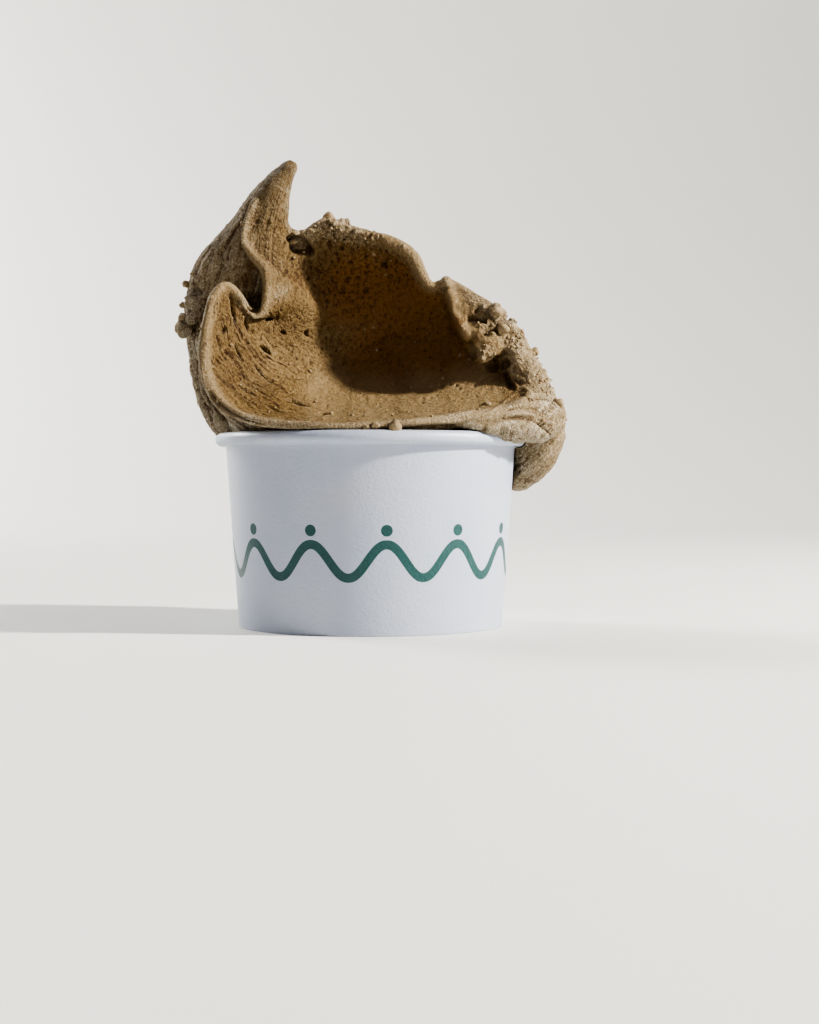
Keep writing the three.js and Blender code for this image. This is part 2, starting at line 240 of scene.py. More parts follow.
def wall_radius(z):
    """The outer radius of the tub's wall at a height."""
    return FOOT_RADIUS + (WALL_TOP_RADIUS - FOOT_RADIUS) * z / WALL_TOP_Z


def fill_radius(z):
    """The radius of the gelato inside the tub at a height."""
    return wall_radius(z) - PAPER - GAP


def scooped_mass(stations=360, face_steps=56, lip_steps=8, outside_steps=48):
    """At each station of the lip a profile runs from the deep of the face by a cubic Bezier to the lip, round
    the lip by a half circle, and down the outside by a cubic Bezier to the tub's mouth and in to the axis."""
    centre, radius, crest, inner, pull = lip_frames(np.arange(stations) / stations)
    deep = FACE_DEEP + 0 * centre
    reach = np.linalg.norm(centre - deep, axis=1, keepdims=True)
    face_end = centre + inner * radius
    shallow = SHALLOW * ramp(centre[:, :1], *SHALLOW_X) * ramp(centre[:, 2:3], *SHALLOW_Z)
    level = np.concatenate([1 + 0 * shallow, shallow, 1 + 0 * shallow], 1)
    face = [deep, deep + FACE_SHARE * (centre - deep) * level, face_end - pull * reach * crest, face_end]
    turned = FOOT_TURN_SCALE * (centre[:, 2] - FOOT_TURN_Z)
    foot = unit(np.stack([centre[:, 0], turned, 0 * centre[:, 0]], 1))
    mouth = foot * fill_radius(MOUTH_Z) + [0, 0, MOUTH_Z]
    outer_start = centre - inner * radius
    drop = np.linalg.norm(outer_start - mouth, axis=1, keepdims=True)
    outside = [outer_start, outer_start - LIP_DROP * drop * crest,
               mouth + MOUTH_OUT * drop * foot + MOUTH_UP * drop * [0, 0, 1], mouth]
    face_share = np.arange(1, face_steps) / face_steps
    outside_share = np.arange(1, outside_steps + 1) / outside_steps
    turn = np.linspace(0, np.pi, lip_steps + 1)[:, None, None]
    lip = centre + radius * (inner * np.cos(turn) + crest * np.sin(turn))
    sunk = foot * (fill_radius(SUNK_Z) - SUNK_IN) + [0, 0, SUNK_Z]
    rings = np.concatenate([
        eased(bezier(face, face_share), FACE_EASE * (1 - face_share) ** 0.7),
        lip,
        eased(bezier(outside, outside_share), OUTSIDE_EASE * np.sqrt(outside_share)),
        sunk[None],
    ])
    return closed_skin(rings, FACE_DEEP, np.array([0.0, 0.0, SUNK_Z]))


def tongue(rows, reference, steps=60, sides=64):
    """Flattened rings carried along a centre line and rounded off at both ends. Their width lies across the
    line and the reference direction, and bend curls both edges back."""
    rows = np.asarray(rows, float)
    cap = np.radians([-75, -60, -45, -30, -15])
    share = np.concatenate([0 * cap, np.linspace(0, 1, steps), 1 + 0 * cap])
    angle = np.concatenate([cap, np.zeros(steps), -cap[::-1]])
    centre, width, thick, twist, bend = np.split(spline(rows, share), [3, 4, 5, 6], axis=1)
    step = 0.01
    ahead = spline(rows, np.minimum(share + step, 1))[:, :3]
    behind = spline(rows, np.maximum(share - step, 0))[:, :3]
    along = unit(ahead - behind)
    reference = np.asarray(reference, float)
    depth = unit(reference - along * (along @ reference)[:, None])
    across = np.cross(depth, along)
    turn = np.radians(twist)
    wide = across * np.cos(turn) + depth * np.sin(turn)
    deep = depth * np.cos(turn) - across * np.sin(turn)
    centre = centre + along * 0.5 * (width + thick) * np.sin(angle)[:, None]
    size = np.cos(angle)[:, None, None]
    a = (2 * np.pi * np.arange(sides) / sides)[None, :, None]
    rings = (centre[:, None] + (width[:, None] * size * np.cos(a)) * wide[:, None]
             + (thick[:, None] * size * np.sin(a) - bend[:, None] * size * np.cos(a) ** 2) * deep[:, None])
    return closed_skin(rings, rings[0].mean(0), rings[-1].mean(0))


def lathe(profile, sides=144):
    """A closed ring from [radius, height] pairs that close on themselves, turned about the tub's axis."""
    profile = np.asarray(profile, float)
    a = 2 * np.pi * np.arange(sides) / sides
    rings = np.stack([profile[:, :1] * np.cos(a), profile[:, :1] * np.sin(a), profile[:, 1:] + 0 * a], -1)
    return rings.reshape(-1, 3), [wrapped_quads(len(profile), sides)]


def bead_arc(radius, start, end, steps):
    """Part of the rolled bead's round section, as [radius, height] pairs, from one angle to another."""
    a = np.radians(np.linspace(start, end, steps))
    return np.stack([BEAD_R + radius * np.cos(a), BEAD_Z + radius * np.sin(a)], 1)


def wall_clearance():
    """The space that the tub's wall and bead need, with the gap round them."""
    def inside(z):
        return fill_radius(z) + GAP / 10
    return lathe(np.vstack([
        [[inside(0), 0], [wall_radius(0) + GAP, 0], [wall_radius(WALL_TOP_Z) + GAP, WALL_TOP_Z - GAP]],
        bead_arc(BEAD_RADIUS + GAP, -95, 180, 24),
        [[inside(WALL_TOP_Z), WALL_TOP_Z]],
    ]))


def fill_plug():
    """The gelato inside the tub, a plain frustum a hair inside the paper."""
    top = SUNK_Z + 6
    profile = [[0.01, FLOOR_Z], [fill_radius(FLOOR_Z), FLOOR_Z], [fill_radius(top), top], [0.01, top]]
    return lathe(profile)


def lattice(cell, salt):
    """A repeatable number from 0 to 1 for each whole-number cell: its indices mixed by large odd factors."""
    n = cell.astype(np.int64)
    h = (n[..., 0] * 73856093) ^ (n[..., 1] * 19349663) ^ (n[..., 2] * 83492791) ^ (salt * 40503 + 977)
    h = ((h ^ (h >> 13)) * 1274126177) & 0xFFFFFFFF
    h = ((h ^ (h >> 15)) * 2246822519) & 0xFFFFFFFF
    return ((h ^ (h >> 16)) & 0xFFFFFF) / 16777216.0


def noise(points, size, salt=0):
    """Smooth noise from -1 to 1: lattice values at the corners of cells of a size, blended by a quintic."""
    place = points / size
    cell = np.floor(place)
    f = place - cell
    f = f**3 * (f * (f * 6 - 15) + 10)
    total = 0
    for corner in itertools.product((0, 1), repeat=3):
        total = total + np.where(corner, f, 1 - f).prod(-1) * lattice(cell + corner, salt)
    return 2 * total - 1


def layered(points, size, layers, salt=0):
    """Noise summed over layers, each half the size and half the height of the one before."""
    return sum(noise(points, size / 2**i, salt + i) / 2**i for i in range(layers))


def nearest_seed(points, size, salt=0):
    """The distance to the nearest of scattered seeds, one to a cell of a size, and that seed's own number."""
    place = points / size
    cell = np.floor(place)
    best = np.full(len(points), 9.0)
    own = np.zeros(len(points))
    for step in itertools.product((-1, 0, 1), repeat=3):
        there = cell + step
        seed = there + np.stack([lattice(there, salt + i) for i in range(3)], -1)
        gap = np.linalg.norm(seed - place, axis=-1)
        nearer = gap < best
        best = np.where(nearer, gap, best)
        own = np.where(nearer, lattice(there, salt + 3), own)
    return best * size, own


def ramp(value, start, end):
    """0 before start, 1 after end, and a smooth step between; start may be above end."""
    t = np.clip((value - start) / (end - start), 0, 1)
    return t * t * (3 - 2 * t)


def new_mesh(name, parts):
    """One object from pairs of points, in millimetres round the axis, and face arrays."""
    points, faces, start = [], [], 0
    for part_points, part_faces in parts:
        points.append(part_points)
        faces += [f + start for f in part_faces]
        start += len(part_points)
    mesh = bpy.data.meshes.new(name)
    corners = np.concatenate([f.ravel() for f in faces])
    sizes = np.concatenate([np.full(len(f), f.shape[1]) for f in faces])
    mesh.vertices.add(start)
    mesh.vertices.foreach_set("co", (np.vstack(points) * MM + AXIS).ravel())
    mesh.loops.add(len(corners))
    mesh.loops.foreach_set("vertex_index", corners.astype(np.int32))
    mesh.polygons.add(len(sizes))
    mesh.polygons.foreach_set("loop_start", np.concatenate([[0], np.cumsum(sizes)[:-1]]).astype(np.int32))
    mesh.update(calc_edges=True)
    mesh.validate()
    obj = bpy.data.objects.new(name, mesh)
    bpy.context.scene.collection.objects.link(obj)
    return obj


def baked(obj):
    """The object's mesh with its modifiers applied; the modifiers are then cleared."""
    graph = bpy.context.evaluated_depsgraph_get()
    made = bpy.data.meshes.new_from_object(obj.evaluated_get(graph))
    obj.modifiers.clear()
    old, obj.data = obj.data, made
    bpy.data.meshes.remove(old)
    return obj


def points_of(obj):
    """The vertices in millimetres round the axis, and their normals."""
    count = len(obj.data.vertices)
    points, normals = np.empty(count * 3), np.empty(count * 3)
    obj.data.vertices.foreach_get("co", points)
    obj.data.vertex_normals.foreach_get("vector", normals)
    return (points.reshape(-1, 3) - AXIS) / MM, normals.reshape(-1, 3)


def move_points(obj, points):
    """Puts the vertices at points in millimetres round the axis."""
    obj.data.vertices.foreach_set("co", (points * MM + AXIS).ravel())
    obj.data.update()


def cut(obj, tool, operation):
    """A Boolean with another object, which is then removed."""
    step = obj.modifiers.new("cut", "BOOLEAN")
    step.object, step.operation, step.solver = tool, operation, "MANIFOLD"
    baked(obj)
    bpy.data.objects.remove(tool)


# The photograph's view: where the camera stood, in millimetres from the tub's axis at the table, and its
# focal length and principal point in the 819 x 1024 frame
CAMERA_BACK = 410
CAMERA_RIGHT = 9.56
CAMERA_UP = 36
FOCAL_PX = 1665
CENTRE_PX = (409.5, 479.1)

# Places on the gelato that are given by their pixels in the photograph: x, y and radius of each spot
TORN_SPOTS = [(492, 322, 22), (512, 340, 20), (530, 368, 22), (545, 396, 24), (552, 424, 20), (484, 352, 14)]
RIDGE_SPOTS = [(327, 232, 20), (350, 236, 18), (372, 242, 16), (300, 246, 12)]
MELT_SPOTS = [(262, 338, 34), (300, 332, 34), (335, 318, 26), (300, 262, 20), (318, 246, 18)]

# Torn slits in the left of the face: both ends, half width and depth in millimetres
SLITS = [
    (232, 299, 236, 325, 0.34, 1.1), (225, 328, 225, 336, 0.30, 0.9), (246, 318, 248, 332, 0.26, 0.8),
    (261, 345, 271, 355, 0.30, 1.0), (280, 331, 287, 336, 0.26, 0.8), (305, 331, 309, 338, 0.26, 0.7),
    (240, 387, 255, 395, 0.28, 0.9), (268, 381, 273, 383, 0.24, 0.6), (285, 399, 311, 406, 0.24, 0.7),
    (319, 413, 328, 415, 0.22, 0.6), (383, 266, 385, 269, 0.55, 1.2), (236, 344, 243, 362, 0.22, 0.6),
    (252, 362, 268, 381, 0.20, 0.6), (218, 300, 214, 322, 0.20, 0.5),
]

# Pits and knobs: x, y and radius of each spot in pixels, and how far it stands out in millimetres
SPOTS = [
    (300, 246, 11, -3.8), (309, 252, 7, -2.0), (383, 266, 3.4, -1.2), (386, 269, 2.6, -1.0),
    (342, 250, 3.5, -0.7), (347, 281, 5, -0.6), (292, 240, 6, -1.4), (251, 306, 9, -1.6),
    (446, 282, 7, 0.7), (496, 314, 9, 1.5), (511, 325, 7, 1.2), (492, 366, 9, -1.6),
    (504, 365, 7, -1.6), (366, 292, 5, -0.4), (328, 302, 4, -0.5), (480, 361, 7, 0.9),
]

# Folds and grooves: half width, how far it stands out, and its line in pixels
FOLDS = [
    (0.36, 0.50, [(521, 394.7), (530, 395.5), (540, 394.5), (548, 396), (556, 402)]),
    (0.32, -0.50, [(524, 398), (531, 399.5), (541, 398.5), (549, 401), (554, 406)]),
    (0.40, 0.60, [(500, 416.5), (511, 414.5), (520, 414), (533, 416), (545, 422), (559, 425)]),
    (0.36, -0.65, [(504, 419.4), (520, 418.6), (532, 420.6), (543, 427), (549, 433), (552, 440)]),
    (0.28, 0.30, [(503, 408.5), (517, 405), (533, 406), (549, 412)]),
    (0.28, -0.30, [(505, 411), (518, 408.5), (533, 409.5), (548, 415.5)]),
    (0.40, 0.35, [(430, 424), (460, 421), (490, 413), (505, 402), (517, 394)]),
    (0.60, -0.70, [(438, 431), (452, 431.5), (466, 432.5), (480, 435)]),
    (0.70, -2.20, [(466, 317.5), (476, 318.5), (487, 321)]),
    (0.80, -1.30, [(482, 334), (490, 328), (503, 330)]),
    (0.70, 0.90, [(507, 366), (512, 375), (514, 384), (520, 391)]),
    (0.70, -1.00, [(503, 371), (508, 380), (511, 389)]),
    (1.40, 1.30, [(448, 286), (453.5, 309), (461.5, 331), (474, 353)]),
    (0.32, 0.50, [(201, 362), (204, 381), (211.3, 398), (221, 410.5), (232.4, 420), (243, 428.4),
                  (251, 434)]),
    (0.42, -0.80, [(206, 388), (217, 403), (230, 413), (246, 421), (262, 426), (280, 430)]),
    (0.42, -0.80, [(199, 372), (202, 390), (209, 404), (219, 416), (231, 425), (241, 431)]),
    (0.40, 0.45, [(190.5, 362), (191.5, 380), (197, 400), (206, 413)]),
    (0.45, -0.80, [(194.5, 358), (195, 370.5), (197.5, 391.6), (205, 407), (214, 415)]),
]

# The lumps of the torn edges, drawn one after another: the band each lot follows, how many, size and scatter
CRAG_BANDS = [
    ((28.6, -7, 78.4), (36.8, -6, 68), 8, 1.5, 1.6),
    ((37.6, -8, 67), (42.6, -8, 54), 8, 0.9, 1.5),
    ((-14, 6, 99.4), (-4, 7, 98.4), 5, 1.4, 0.8),
    ((-45.4, 4, 72.5), (-42.8, 4, 85.5), 9, 1.7, 0.9),
]

# The draw: a start, and the factor and range that give each number from the one before
CRAG_SEED = 7
DRAW_FACTOR = 16807
DRAW_RANGE = 2147483647

# Smaller lumps stuck to the lip: the rows of the lip they lie between, how many, and their greatest size
LIP_LUMPS = [(29.6, 32.2, 50, 1.4), (32.0, 35.0, 46, 0.9), (21.2, 23.6, 34, 1.1), (23.6, 26.4, 16, 0.7)]

# Where the face is roughest, which the finish also darkens as painted shade
ROUGH_AND_SHADED_SPOTS = [(224, 322, 44), (236, 366, 40), (262, 392, 26), (272, 236, 50), (285, 312, 44),
                (345, 272, 60), (300, 262, 40), (400, 262, 40), (512, 372, 30), (535, 400, 34),
                (480, 320, 30)]

# The rows of the lip where it is smooth and pale; the flap's patches, paler from its own pale skin and from
# painted light; and the right slope's patches, paled as painted light
SMOOTH_ROWS = [(3.5, 9.6), (12.8, 16.4), (24.6, 28.6)]
PALE_AND_LIT_FLAP_SPOTS = [(454, 293, 16), (462, 308, 17), (470, 330, 14), (477, 350, 12), (497, 314, 11)]
PAINTED_LIGHT_SLOPE_SPOTS = [(535, 392, 28), (522, 352, 22), (512, 334, 14), (530, 372, 24)]

# The sheet under the horn, where the horn's drag strands run on over the face
SHEET_SPOTS = [(258, 196, 24), (260, 220, 30), (264, 246, 28), (272, 268, 24), (278, 288, 18)]

# The front of the horn, darkened as painted shade
SHADED_HORN_SPOTS = [(291, 166, 12), (284, 180, 16), (274, 198, 22), (272, 222, 28), (274, 248, 28), (280, 272, 22)]

# Painted light: paler patches on the band of the face above the front rim
PAINTED_LIGHT_SPOTS = [(330, 398, 40), (375, 404, 44), (425, 404, 44), (470, 392, 40), (492, 396, 24)]
# Painted shade: a redder brown where the face's shadow falls
SHADE_TINT_SPOTS = [(360, 292, 58), (405, 302, 74), (430, 342, 60), (382, 350, 54), (458, 366, 24)]

# The plain sandy slope at the right, and the hollow between the lobe and the horn, darkened as painted shade
SANDY_SPOTS = [(520, 350, 14), (528, 368, 17), (532, 386, 17), (548, 410, 14)]
SHADED_HOLLOW_SPOTS = [(250, 300, 13), (247, 281, 12), (251, 267, 8)]

# Where the frost is thickest
FROSTY_SPOTS = [(538, 438, 18), (508, 436, 20), (472, 431, 14), (548, 405, 16), (192, 345, 20),
                (184, 300, 36), (196, 380, 40), (214, 412, 26), (240, 428, 20)]

# The line that the spatula's strokes run along in the left of the face, in pixels, and its length in
# millimetres
STROKE_LINE = [(420, 429), (330, 426), (280, 413), (240, 386), (215, 355), (205, 320), (207, 295), (215, 260),
               (232, 220), (250, 170)]
STROKE_LENGTH = 105

VOXEL = 0.36
GELATO_TRIANGLES = 192000
LIP_SAMPLES = 240

# Heights of the relief in millimetres, and the sizes of its grain, pores, lumps and crumbs
BROAD_WAVE = 0.40
LESSER_WAVE = 0.26
GRAIN_HEIGHT = 0.12
GRAIN_SIZE = 1.15
STROKE_HEIGHT = 0.08
STROKE_CUT = 0.44
STRAND_HEIGHT = 0.30
PORE_DEPTH = 0.34
UPPER_PORE_DEPTH = 0.55
PORE_SIZE = 1.75
LUMP_SIZE = 2.6
CRUMB_SIZE = 1.4
SLIT_STRENGTH = 1.4


def in_photograph(points):
    """Where each point falls in the photograph: offsets from the camera's line divided by the distance."""
    scale = FOCAL_PX / (CAMERA_BACK + points[:, 1])
    return np.stack([CENTRE_PX[0] + (points[:, 0] - CAMERA_RIGHT) * scale,
                     CENTRE_PX[1] - (points[:, 2] - CAMERA_UP) * scale], 1)


def spotted(seen, spots):
    """1 in the middle of any of the spots, falling smoothly to 0 at its radius."""
    masks = [ramp(np.hypot(seen[:, 0] - x, seen[:, 1] - y), r, 0.35 * r) for x, y, r in spots]
    return np.max(masks, axis=0)


def nearest_lip(points):
    """The distance from each point to the lip's centre line, and the share of the loop where it is
    nearest."""
    line = spline(LIP, np.arange(LIP_SAMPLES) / LIP_SAMPLES, closed=True)[:, :3]
    square = (points**2).sum(1)[:, None] - 2 * points @ line.T + (line**2).sum(1)
    best = square.argmin(1)
    run = np.roll(line, -1, 0) - np.roll(line, 1, 0)
    step = 2 * ((points - line[best]) * run[best]).sum(1) / (run[best] ** 2).sum(1)
    step = np.clip(step, -0.6, 0.6)
    along = step * np.linalg.norm(run[best], axis=1) / 2
    gap = np.sqrt(np.maximum(square[np.arange(len(points)), best] - along**2, 0))
    return gap, (best + step) / LIP_SAMPLES % 1


def lip_surface(points):
    """How far each point lies beyond the lip's own tube, and the share of the loop where it is nearest."""
    gap, share = nearest_lip(points)
    radius = spline(LIP, np.arange(LIP_SAMPLES) / LIP_SAMPLES, closed=True)[:, 3]
    return gap - radius[np.round(share * LIP_SAMPLES).astype(int) % LIP_SAMPLES], share


def frontal(normals, start, end):
    """0 where the surface is turned to the back, 1 where it is turned to the front, with a smooth step
    between two values of how far it is turned."""
    return ramp(-normals[:, 1], start, end)


def torn_share(points, seen):
    """1 on the torn edge at the right, 0 away from it and behind it."""
    return spotted(seen, TORN_SPOTS) * ramp(points[:, 1], 14, 4)


def edges_of(obj):
    """The mesh's edges as an array of vertex pairs."""
    pairs = np.empty(len(obj.data.edges) * 2, np.int32)
    obj.data.edges.foreach_get("vertices", pairs)
    return pairs.reshape(-1, 2)


def relaxed(points, pairs, weight, passes):
    """Each pass moves every point by its weight towards the mean of its neighbours."""
    count = len(points)
    ends = np.concatenate([pairs[:, 0], pairs[:, 1]])
    others = np.concatenate([pairs[:, 1], pairs[:, 0]])
    share = (weight / np.maximum(np.bincount(ends, minlength=count), 1))[:, None]
    for _ in range(passes):
        total = np.stack([np.bincount(ends, points[others, i], count) for i in range(3)], 1)
        points = points * (1 - weight[:, None]) + total * share
    return points


def line_gap(seen, line):
    """The distance in millimetres from each place in the photograph to a line of pixels, and the share of the
    way along it where it is nearest."""
    line = np.asarray(line, float)
    start, run = line[:-1], np.diff(line, axis=0)
    share = np.clip(((seen[:, None] - start) * run).sum(2) / (run * run).sum(1), 0, 1)
    gap = np.linalg.norm(seen[:, None] - start - share[..., None] * run, axis=2)
    best = gap.argmin(1)
    rows = np.arange(len(seen))
    return gap[rows, best] * CAMERA_BACK / FOCAL_PX, (best + share[rows, best]) / len(run)


def lattice_wave(seen):
    """Noise from -1 to 1 across the photograph, with waves a few pixels long."""
    return noise(np.column_stack([seen, 0 * seen[:, 0]]), 6, 90)


def folded(seen):
    """How far the folds, grooves, pits and knobs stand out: a bell across each line, thinner at its ends, and
    a round bell at each spot."""
    height = np.zeros(len(seen))
    for half_width, rise, line in FOLDS:
        low, high = np.min(line, axis=0) - 10, np.max(line, axis=0) + 10
        near = np.flatnonzero(((seen > low) & (seen < high)).all(1))
        gap, share = line_gap(seen[near], line)
        uneven = half_width * (0.85 + 0.3 * lattice_wave(seen[near] / 1.8))
        height[near] += rise * np.exp(-((gap / uneven) ** 2)) * ramp(share, 0, 0.12) * ramp(share, 1, 0.88)
    for x, y, radius, rise in SPOTS:
        height += rise * ramp(np.hypot(seen[:, 0] - x, seen[:, 1] - y), radius, 0.25 * radius)
    return height


def slit_depth(seen):
    """How deep the torn slits cut at each point: a smooth groove round each short uneven stroke."""
    seen = seen + 0.9 * np.stack([lattice_wave(seen), lattice_wave(seen + 50)], 1)
    scale = FOCAL_PX / CAMERA_BACK
    depth = np.zeros(len(seen))
    for x0, y0, x1, y1, half_width, cut_depth in SLITS:
        start, run = np.array([x0, y0]), np.array([x1 - x0, y1 - y0])
        share = np.clip((seen - start) @ run / (run @ run), 0, 1)
        gap = np.linalg.norm(seen - start - share[:, None] * run, axis=1) / scale
        taper = 0.35 + 0.65 * np.sin(np.pi * share)
        depth = np.maximum(depth, cut_depth * taper * ramp(gap, 2.2 * half_width * taper, 0.2 * half_width))
    return depth


def flow_across(points):
    """A coordinate across the drag lines of the outside: the angle round the horn's line at the left, and
    round the tub's axis elsewhere, with the height along the lines."""
    rows = np.asarray(HORN, float)
    middle = np.stack([np.interp(points[:, 2], rows[:, 2], rows[:, i]) for i in range(2)], 1)
    round_horn = np.arctan2(points[:, 1] - middle[:, 1], points[:, 0] - middle[:, 0])
    round_axis = np.arctan2(points[:, 1], points[:, 0])
    at_horn = ramp(points[:, 0], -8, -18)
    at_drip = ramp(points[:, 0], 30, 34) * ramp(points[:, 2], 54, 50)
    slant = 0.72 * points[:, 0] - 0.69 * points[:, 2]
    across = at_horn * 13 * round_horn + at_drip * slant + (1 - at_horn - at_drip) * 30 * round_axis
    return across + 1.0 * noise(points, 4, 20)


def face_of(points, normals, seen):
    """1 on the scooped face inside the lip as the camera sees it, 0 on the outside, and little on the sheet
    under the horn."""
    outline = in_photograph(spline(LIP, np.arange(120) / 120, closed=True)[:, :3])
    inside = frontal(normals, -0.1, 0.35) * inside_outline(seen, outline)
    return inside * (1 - 0.8 * spotted(seen, SHEET_SPOTS))


def face_flow(points, seen):
    """Millimetres across and along the spatula's strokes, which run down the lobe and along the front."""
    gap, share = line_gap(seen, STROKE_LINE)
    return gap + 0.7 * noise(points, 5, 20), share * STROKE_LENGTH


def relief(points, normals):
    """How far each point of the gelato stands out, in millimetres: broad waves, strokes and pores of the
    face, drag strands of the outside, torn crumbs, folds and slits, each held to its own part."""
    seen = in_photograph(points)
    past_lip, _ = lip_surface(points)
    facing = frontal(normals, -0.1, 0.35)
    face = face_of(points, normals, seen)
    bowl = face * ramp(past_lip, -0.1, 0.8)
    outside = (1 - face) * ramp(past_lip, 0.0, 1.6)
    torn = torn_share(points, seen)
    crumbly = np.maximum(torn, spotted(seen, RIDGE_SPOTS) * ramp(points[:, 1], 16, 10))
    left = ramp(seen[:, 0], 330, 260)
    upper = ramp(seen[:, 1], 320, 262)

    broad = BROAD_WAVE * noise(points, 13, 1) + LESSER_WAVE * noise(points, 6, 2)
    grain = layered(points, GRAIN_SIZE, 2, 10)

    across, along = face_flow(points, seen)
    stroke = noise(np.stack([across / 0.8, along / 8.0, 0 * along], 1), 1, 30)
    stroke += 0.5 * noise(np.stack([across / 0.5, along / 5.0, 0 * along + 5], 1), 1, 31)
    outer_across = flow_across(points)
    strand = noise(np.stack([outer_across / 1.7, points[:, 2] / 18, points[:, 0] / 40], 1), 1, 40)
    strand += 0.7 * noise(np.stack([outer_across / 0.8, points[:, 2] / 9, points[:, 0] / 40], 1), 1, 41)

    tall = points * [1, 1, 0.55]
    pore_gap, pore_own = nearest_seed(tall + 0.3 * noise(points, 1.1, 54)[:, None], PORE_SIZE, 50)
    thick = ramp(noise(points, 7, 55) + 1.1 * upper, -0.1, 0.7)
    pores = ramp(pore_gap, 0.6, 0.15) * (pore_own > 0.86 - 0.6 * thick)
    lump_gap, lump_own = nearest_seed(points + 0.5 * noise(points, 1.6, 61)[:, None], LUMP_SIZE, 60)
    crumb_gap, crumb_own = nearest_seed(points, CRUMB_SIZE, 62)
    lumps = 1.0 * lump_own * ramp(lump_gap, 1.5, 0.3) + 0.6 * crumb_own * ramp(crumb_gap, 0.8, 0.2) - 0.4
    lumps *= 1 - 0.6 * spotted(seen, SANDY_SPOTS)

    height = broad * (0.5 + 0.5 * outside)
    height += GRAIN_HEIGHT * grain * (bowl * (1 + 0.6 * upper) + 1.1 * outside + torn)
    height += bowl * left * (STROKE_HEIGHT * stroke - STROKE_CUT * ramp(stroke, 0.4, 0.9))
    height += outside * STRAND_HEIGHT * strand * ramp(points[:, 2], 110, 100)
    height += crumbly * lumps
    height -= bowl * (PORE_DEPTH + UPPER_PORE_DEPTH * upper) * pores
    height += facing * folded(seen)
    height -= SLIT_STRENGTH * facing * slit_depth(seen)
    return height


def inside_outline(seen, outline):
    """1 for points inside a closed outline, by counting the outline's crossings of a line to the right."""
    x, y = seen[:, 0], seen[:, 1]
    inside = np.zeros(len(seen), bool)
    for (x0, y0), (x1, y1) in zip(outline, np.roll(outline, -1, 0)):
        if y0 != y1:
            crosses = (y0 > y) != (y1 > y)
            inside ^= crosses & (x < x0 + (y - y0) * (x1 - x0) / (y1 - y0))
    return inside.astype(float)


def crag_lumps():
    """The crags: places spread along each band and moved by a repeatable draw, each a squashed ball."""
    counts = [band[2] for band in CRAG_BANDS]
    state, draws = CRAG_SEED, []
    for _ in range(5 * sum(counts)):
        state = state * DRAW_FACTOR % DRAW_RANGE
        draws.append(state / DRAW_RANGE)
    draws = np.array(draws).reshape(-1, 5)
    share = np.concatenate([(np.arange(n) + 0.5) / n for n in counts])[:, None]
    start, end, size, scatter = (
        np.repeat([band[i] for band in CRAG_BANDS], counts, axis=0) for i in (0, 1, 3, 4))
    places = start + share * (end - start) + (2 * draws[:, :3] - 1) * scatter[:, None]
    return lumps_at(places, size * (0.65 + 0.6 * draws[:, 3]), 3, 24)


def lip_lumps():
    """Lumps scattered round the lip's tube along the torn stretches, mostly small and a few large."""
    draw = np.random.default_rng(5)
    rows, sizes = [], []
    for first, last, count, largest in LIP_LUMPS:
        rows.append(draw.uniform(first, last, count))
        sizes.append(largest * (0.35 + 0.65 * draw.random(count) ** 2.5))
    share, sizes = np.concatenate(rows) / len(LIP), np.concatenate(sizes)
    centre, radius, crest, inner, _ = lip_frames(share)
    turn = draw.uniform(-0.15, 1.0, len(share))[:, None] * np.pi
    return lumps_at(centre + radius * (inner * np.cos(turn) + crest * np.sin(turn)), sizes, 2, 25)


def sculpted_gelato():
    """The joined mass: one skin over the parts, melted together where they meet, then given its relief,
    joined to the fill in the tub and kept clear of the paper."""
    parts = [
        scooped_mass(),
        tongue(HORN, [0, 1, 0]),
        tongue(FLAP, [0, 1, 0]),
        tongue(SHOULDER, [0, 0, 1]),
        tongue(DRIP, [0, 1, 0]),
        crag_lumps(),
        lip_lumps(),
    ]
    body = new_mesh("gelato_mass", parts)
    step = body.modifiers.new("skin", "REMESH")
    step.mode, step.voxel_size, step.use_smooth_shade = "VOXEL", VOXEL * MM, True
    baked(body)
    points, normals = points_of(body)
    pairs = edges_of(body)
    lip_gap, _ = nearest_lip(points)
    seen = in_photograph(points)
    melt = spotted(seen, MELT_SPOTS) * frontal(normals, -0.3, 0.1) * ramp(lip_gap, 1.5, 4.5)
    points = relaxed(points, pairs, np.full(len(points), 0.5), 4)
    points = relaxed(points, pairs, 0.9 * melt, 240)
    move_points(body, points)
    points, normals = points_of(body)
    move_points(body, points + normals * relief(points, normals)[:, None])
    thin(body, GELATO_TRIANGLES)
    cut(body, new_mesh("plug", [fill_plug()]), "UNION")
    cut(body, new_mesh("clearance", [wall_clearance()]), "DIFFERENCE")
    return body


def thin(body, triangles):
    """Collapses edges down to a number of triangles, most where the surface is hidden or turned away."""
    points, normals = points_of(body)
    hidden = (np.hypot(points[:, 0], points[:, 1]) < BEAD_R - 2 * BEAD_RADIUS) & (points[:, 2] < WALL_TOP_Z)
    keep = np.where(hidden, 0.0, 0.4 + 0.6 * frontal(normals, -0.5, 0.3))
    group = body.vertex_groups.new(name="fine")
    levels = 8
    for level in range(1, levels + 1):
        chosen = np.flatnonzero(np.round(keep * levels) == level)
        group.add(chosen.tolist(), level / levels, "REPLACE")
    now = sum(len(p.vertices) - 2 for p in body.data.polygons)
    step = body.modifiers.new("thin", "DECIMATE")
    step.ratio = min(1.0, triangles / now)
    step.vertex_group, step.invert_vertex_group, step.vertex_group_factor = "fine", True, 1.0
    baked(body)
    body.vertex_groups.clear()


def store(obj, name, values):
    """Keeps one number or three for each vertex under a name that a material can read."""
    values = np.asarray(values, np.float32)
    kind, field = ("FLOAT", "value") if values.ndim == 1 else ("FLOAT_VECTOR", "vector")
    obj.data.attributes.new(name, kind, "POINT").data.foreach_set(field, values.ravel())


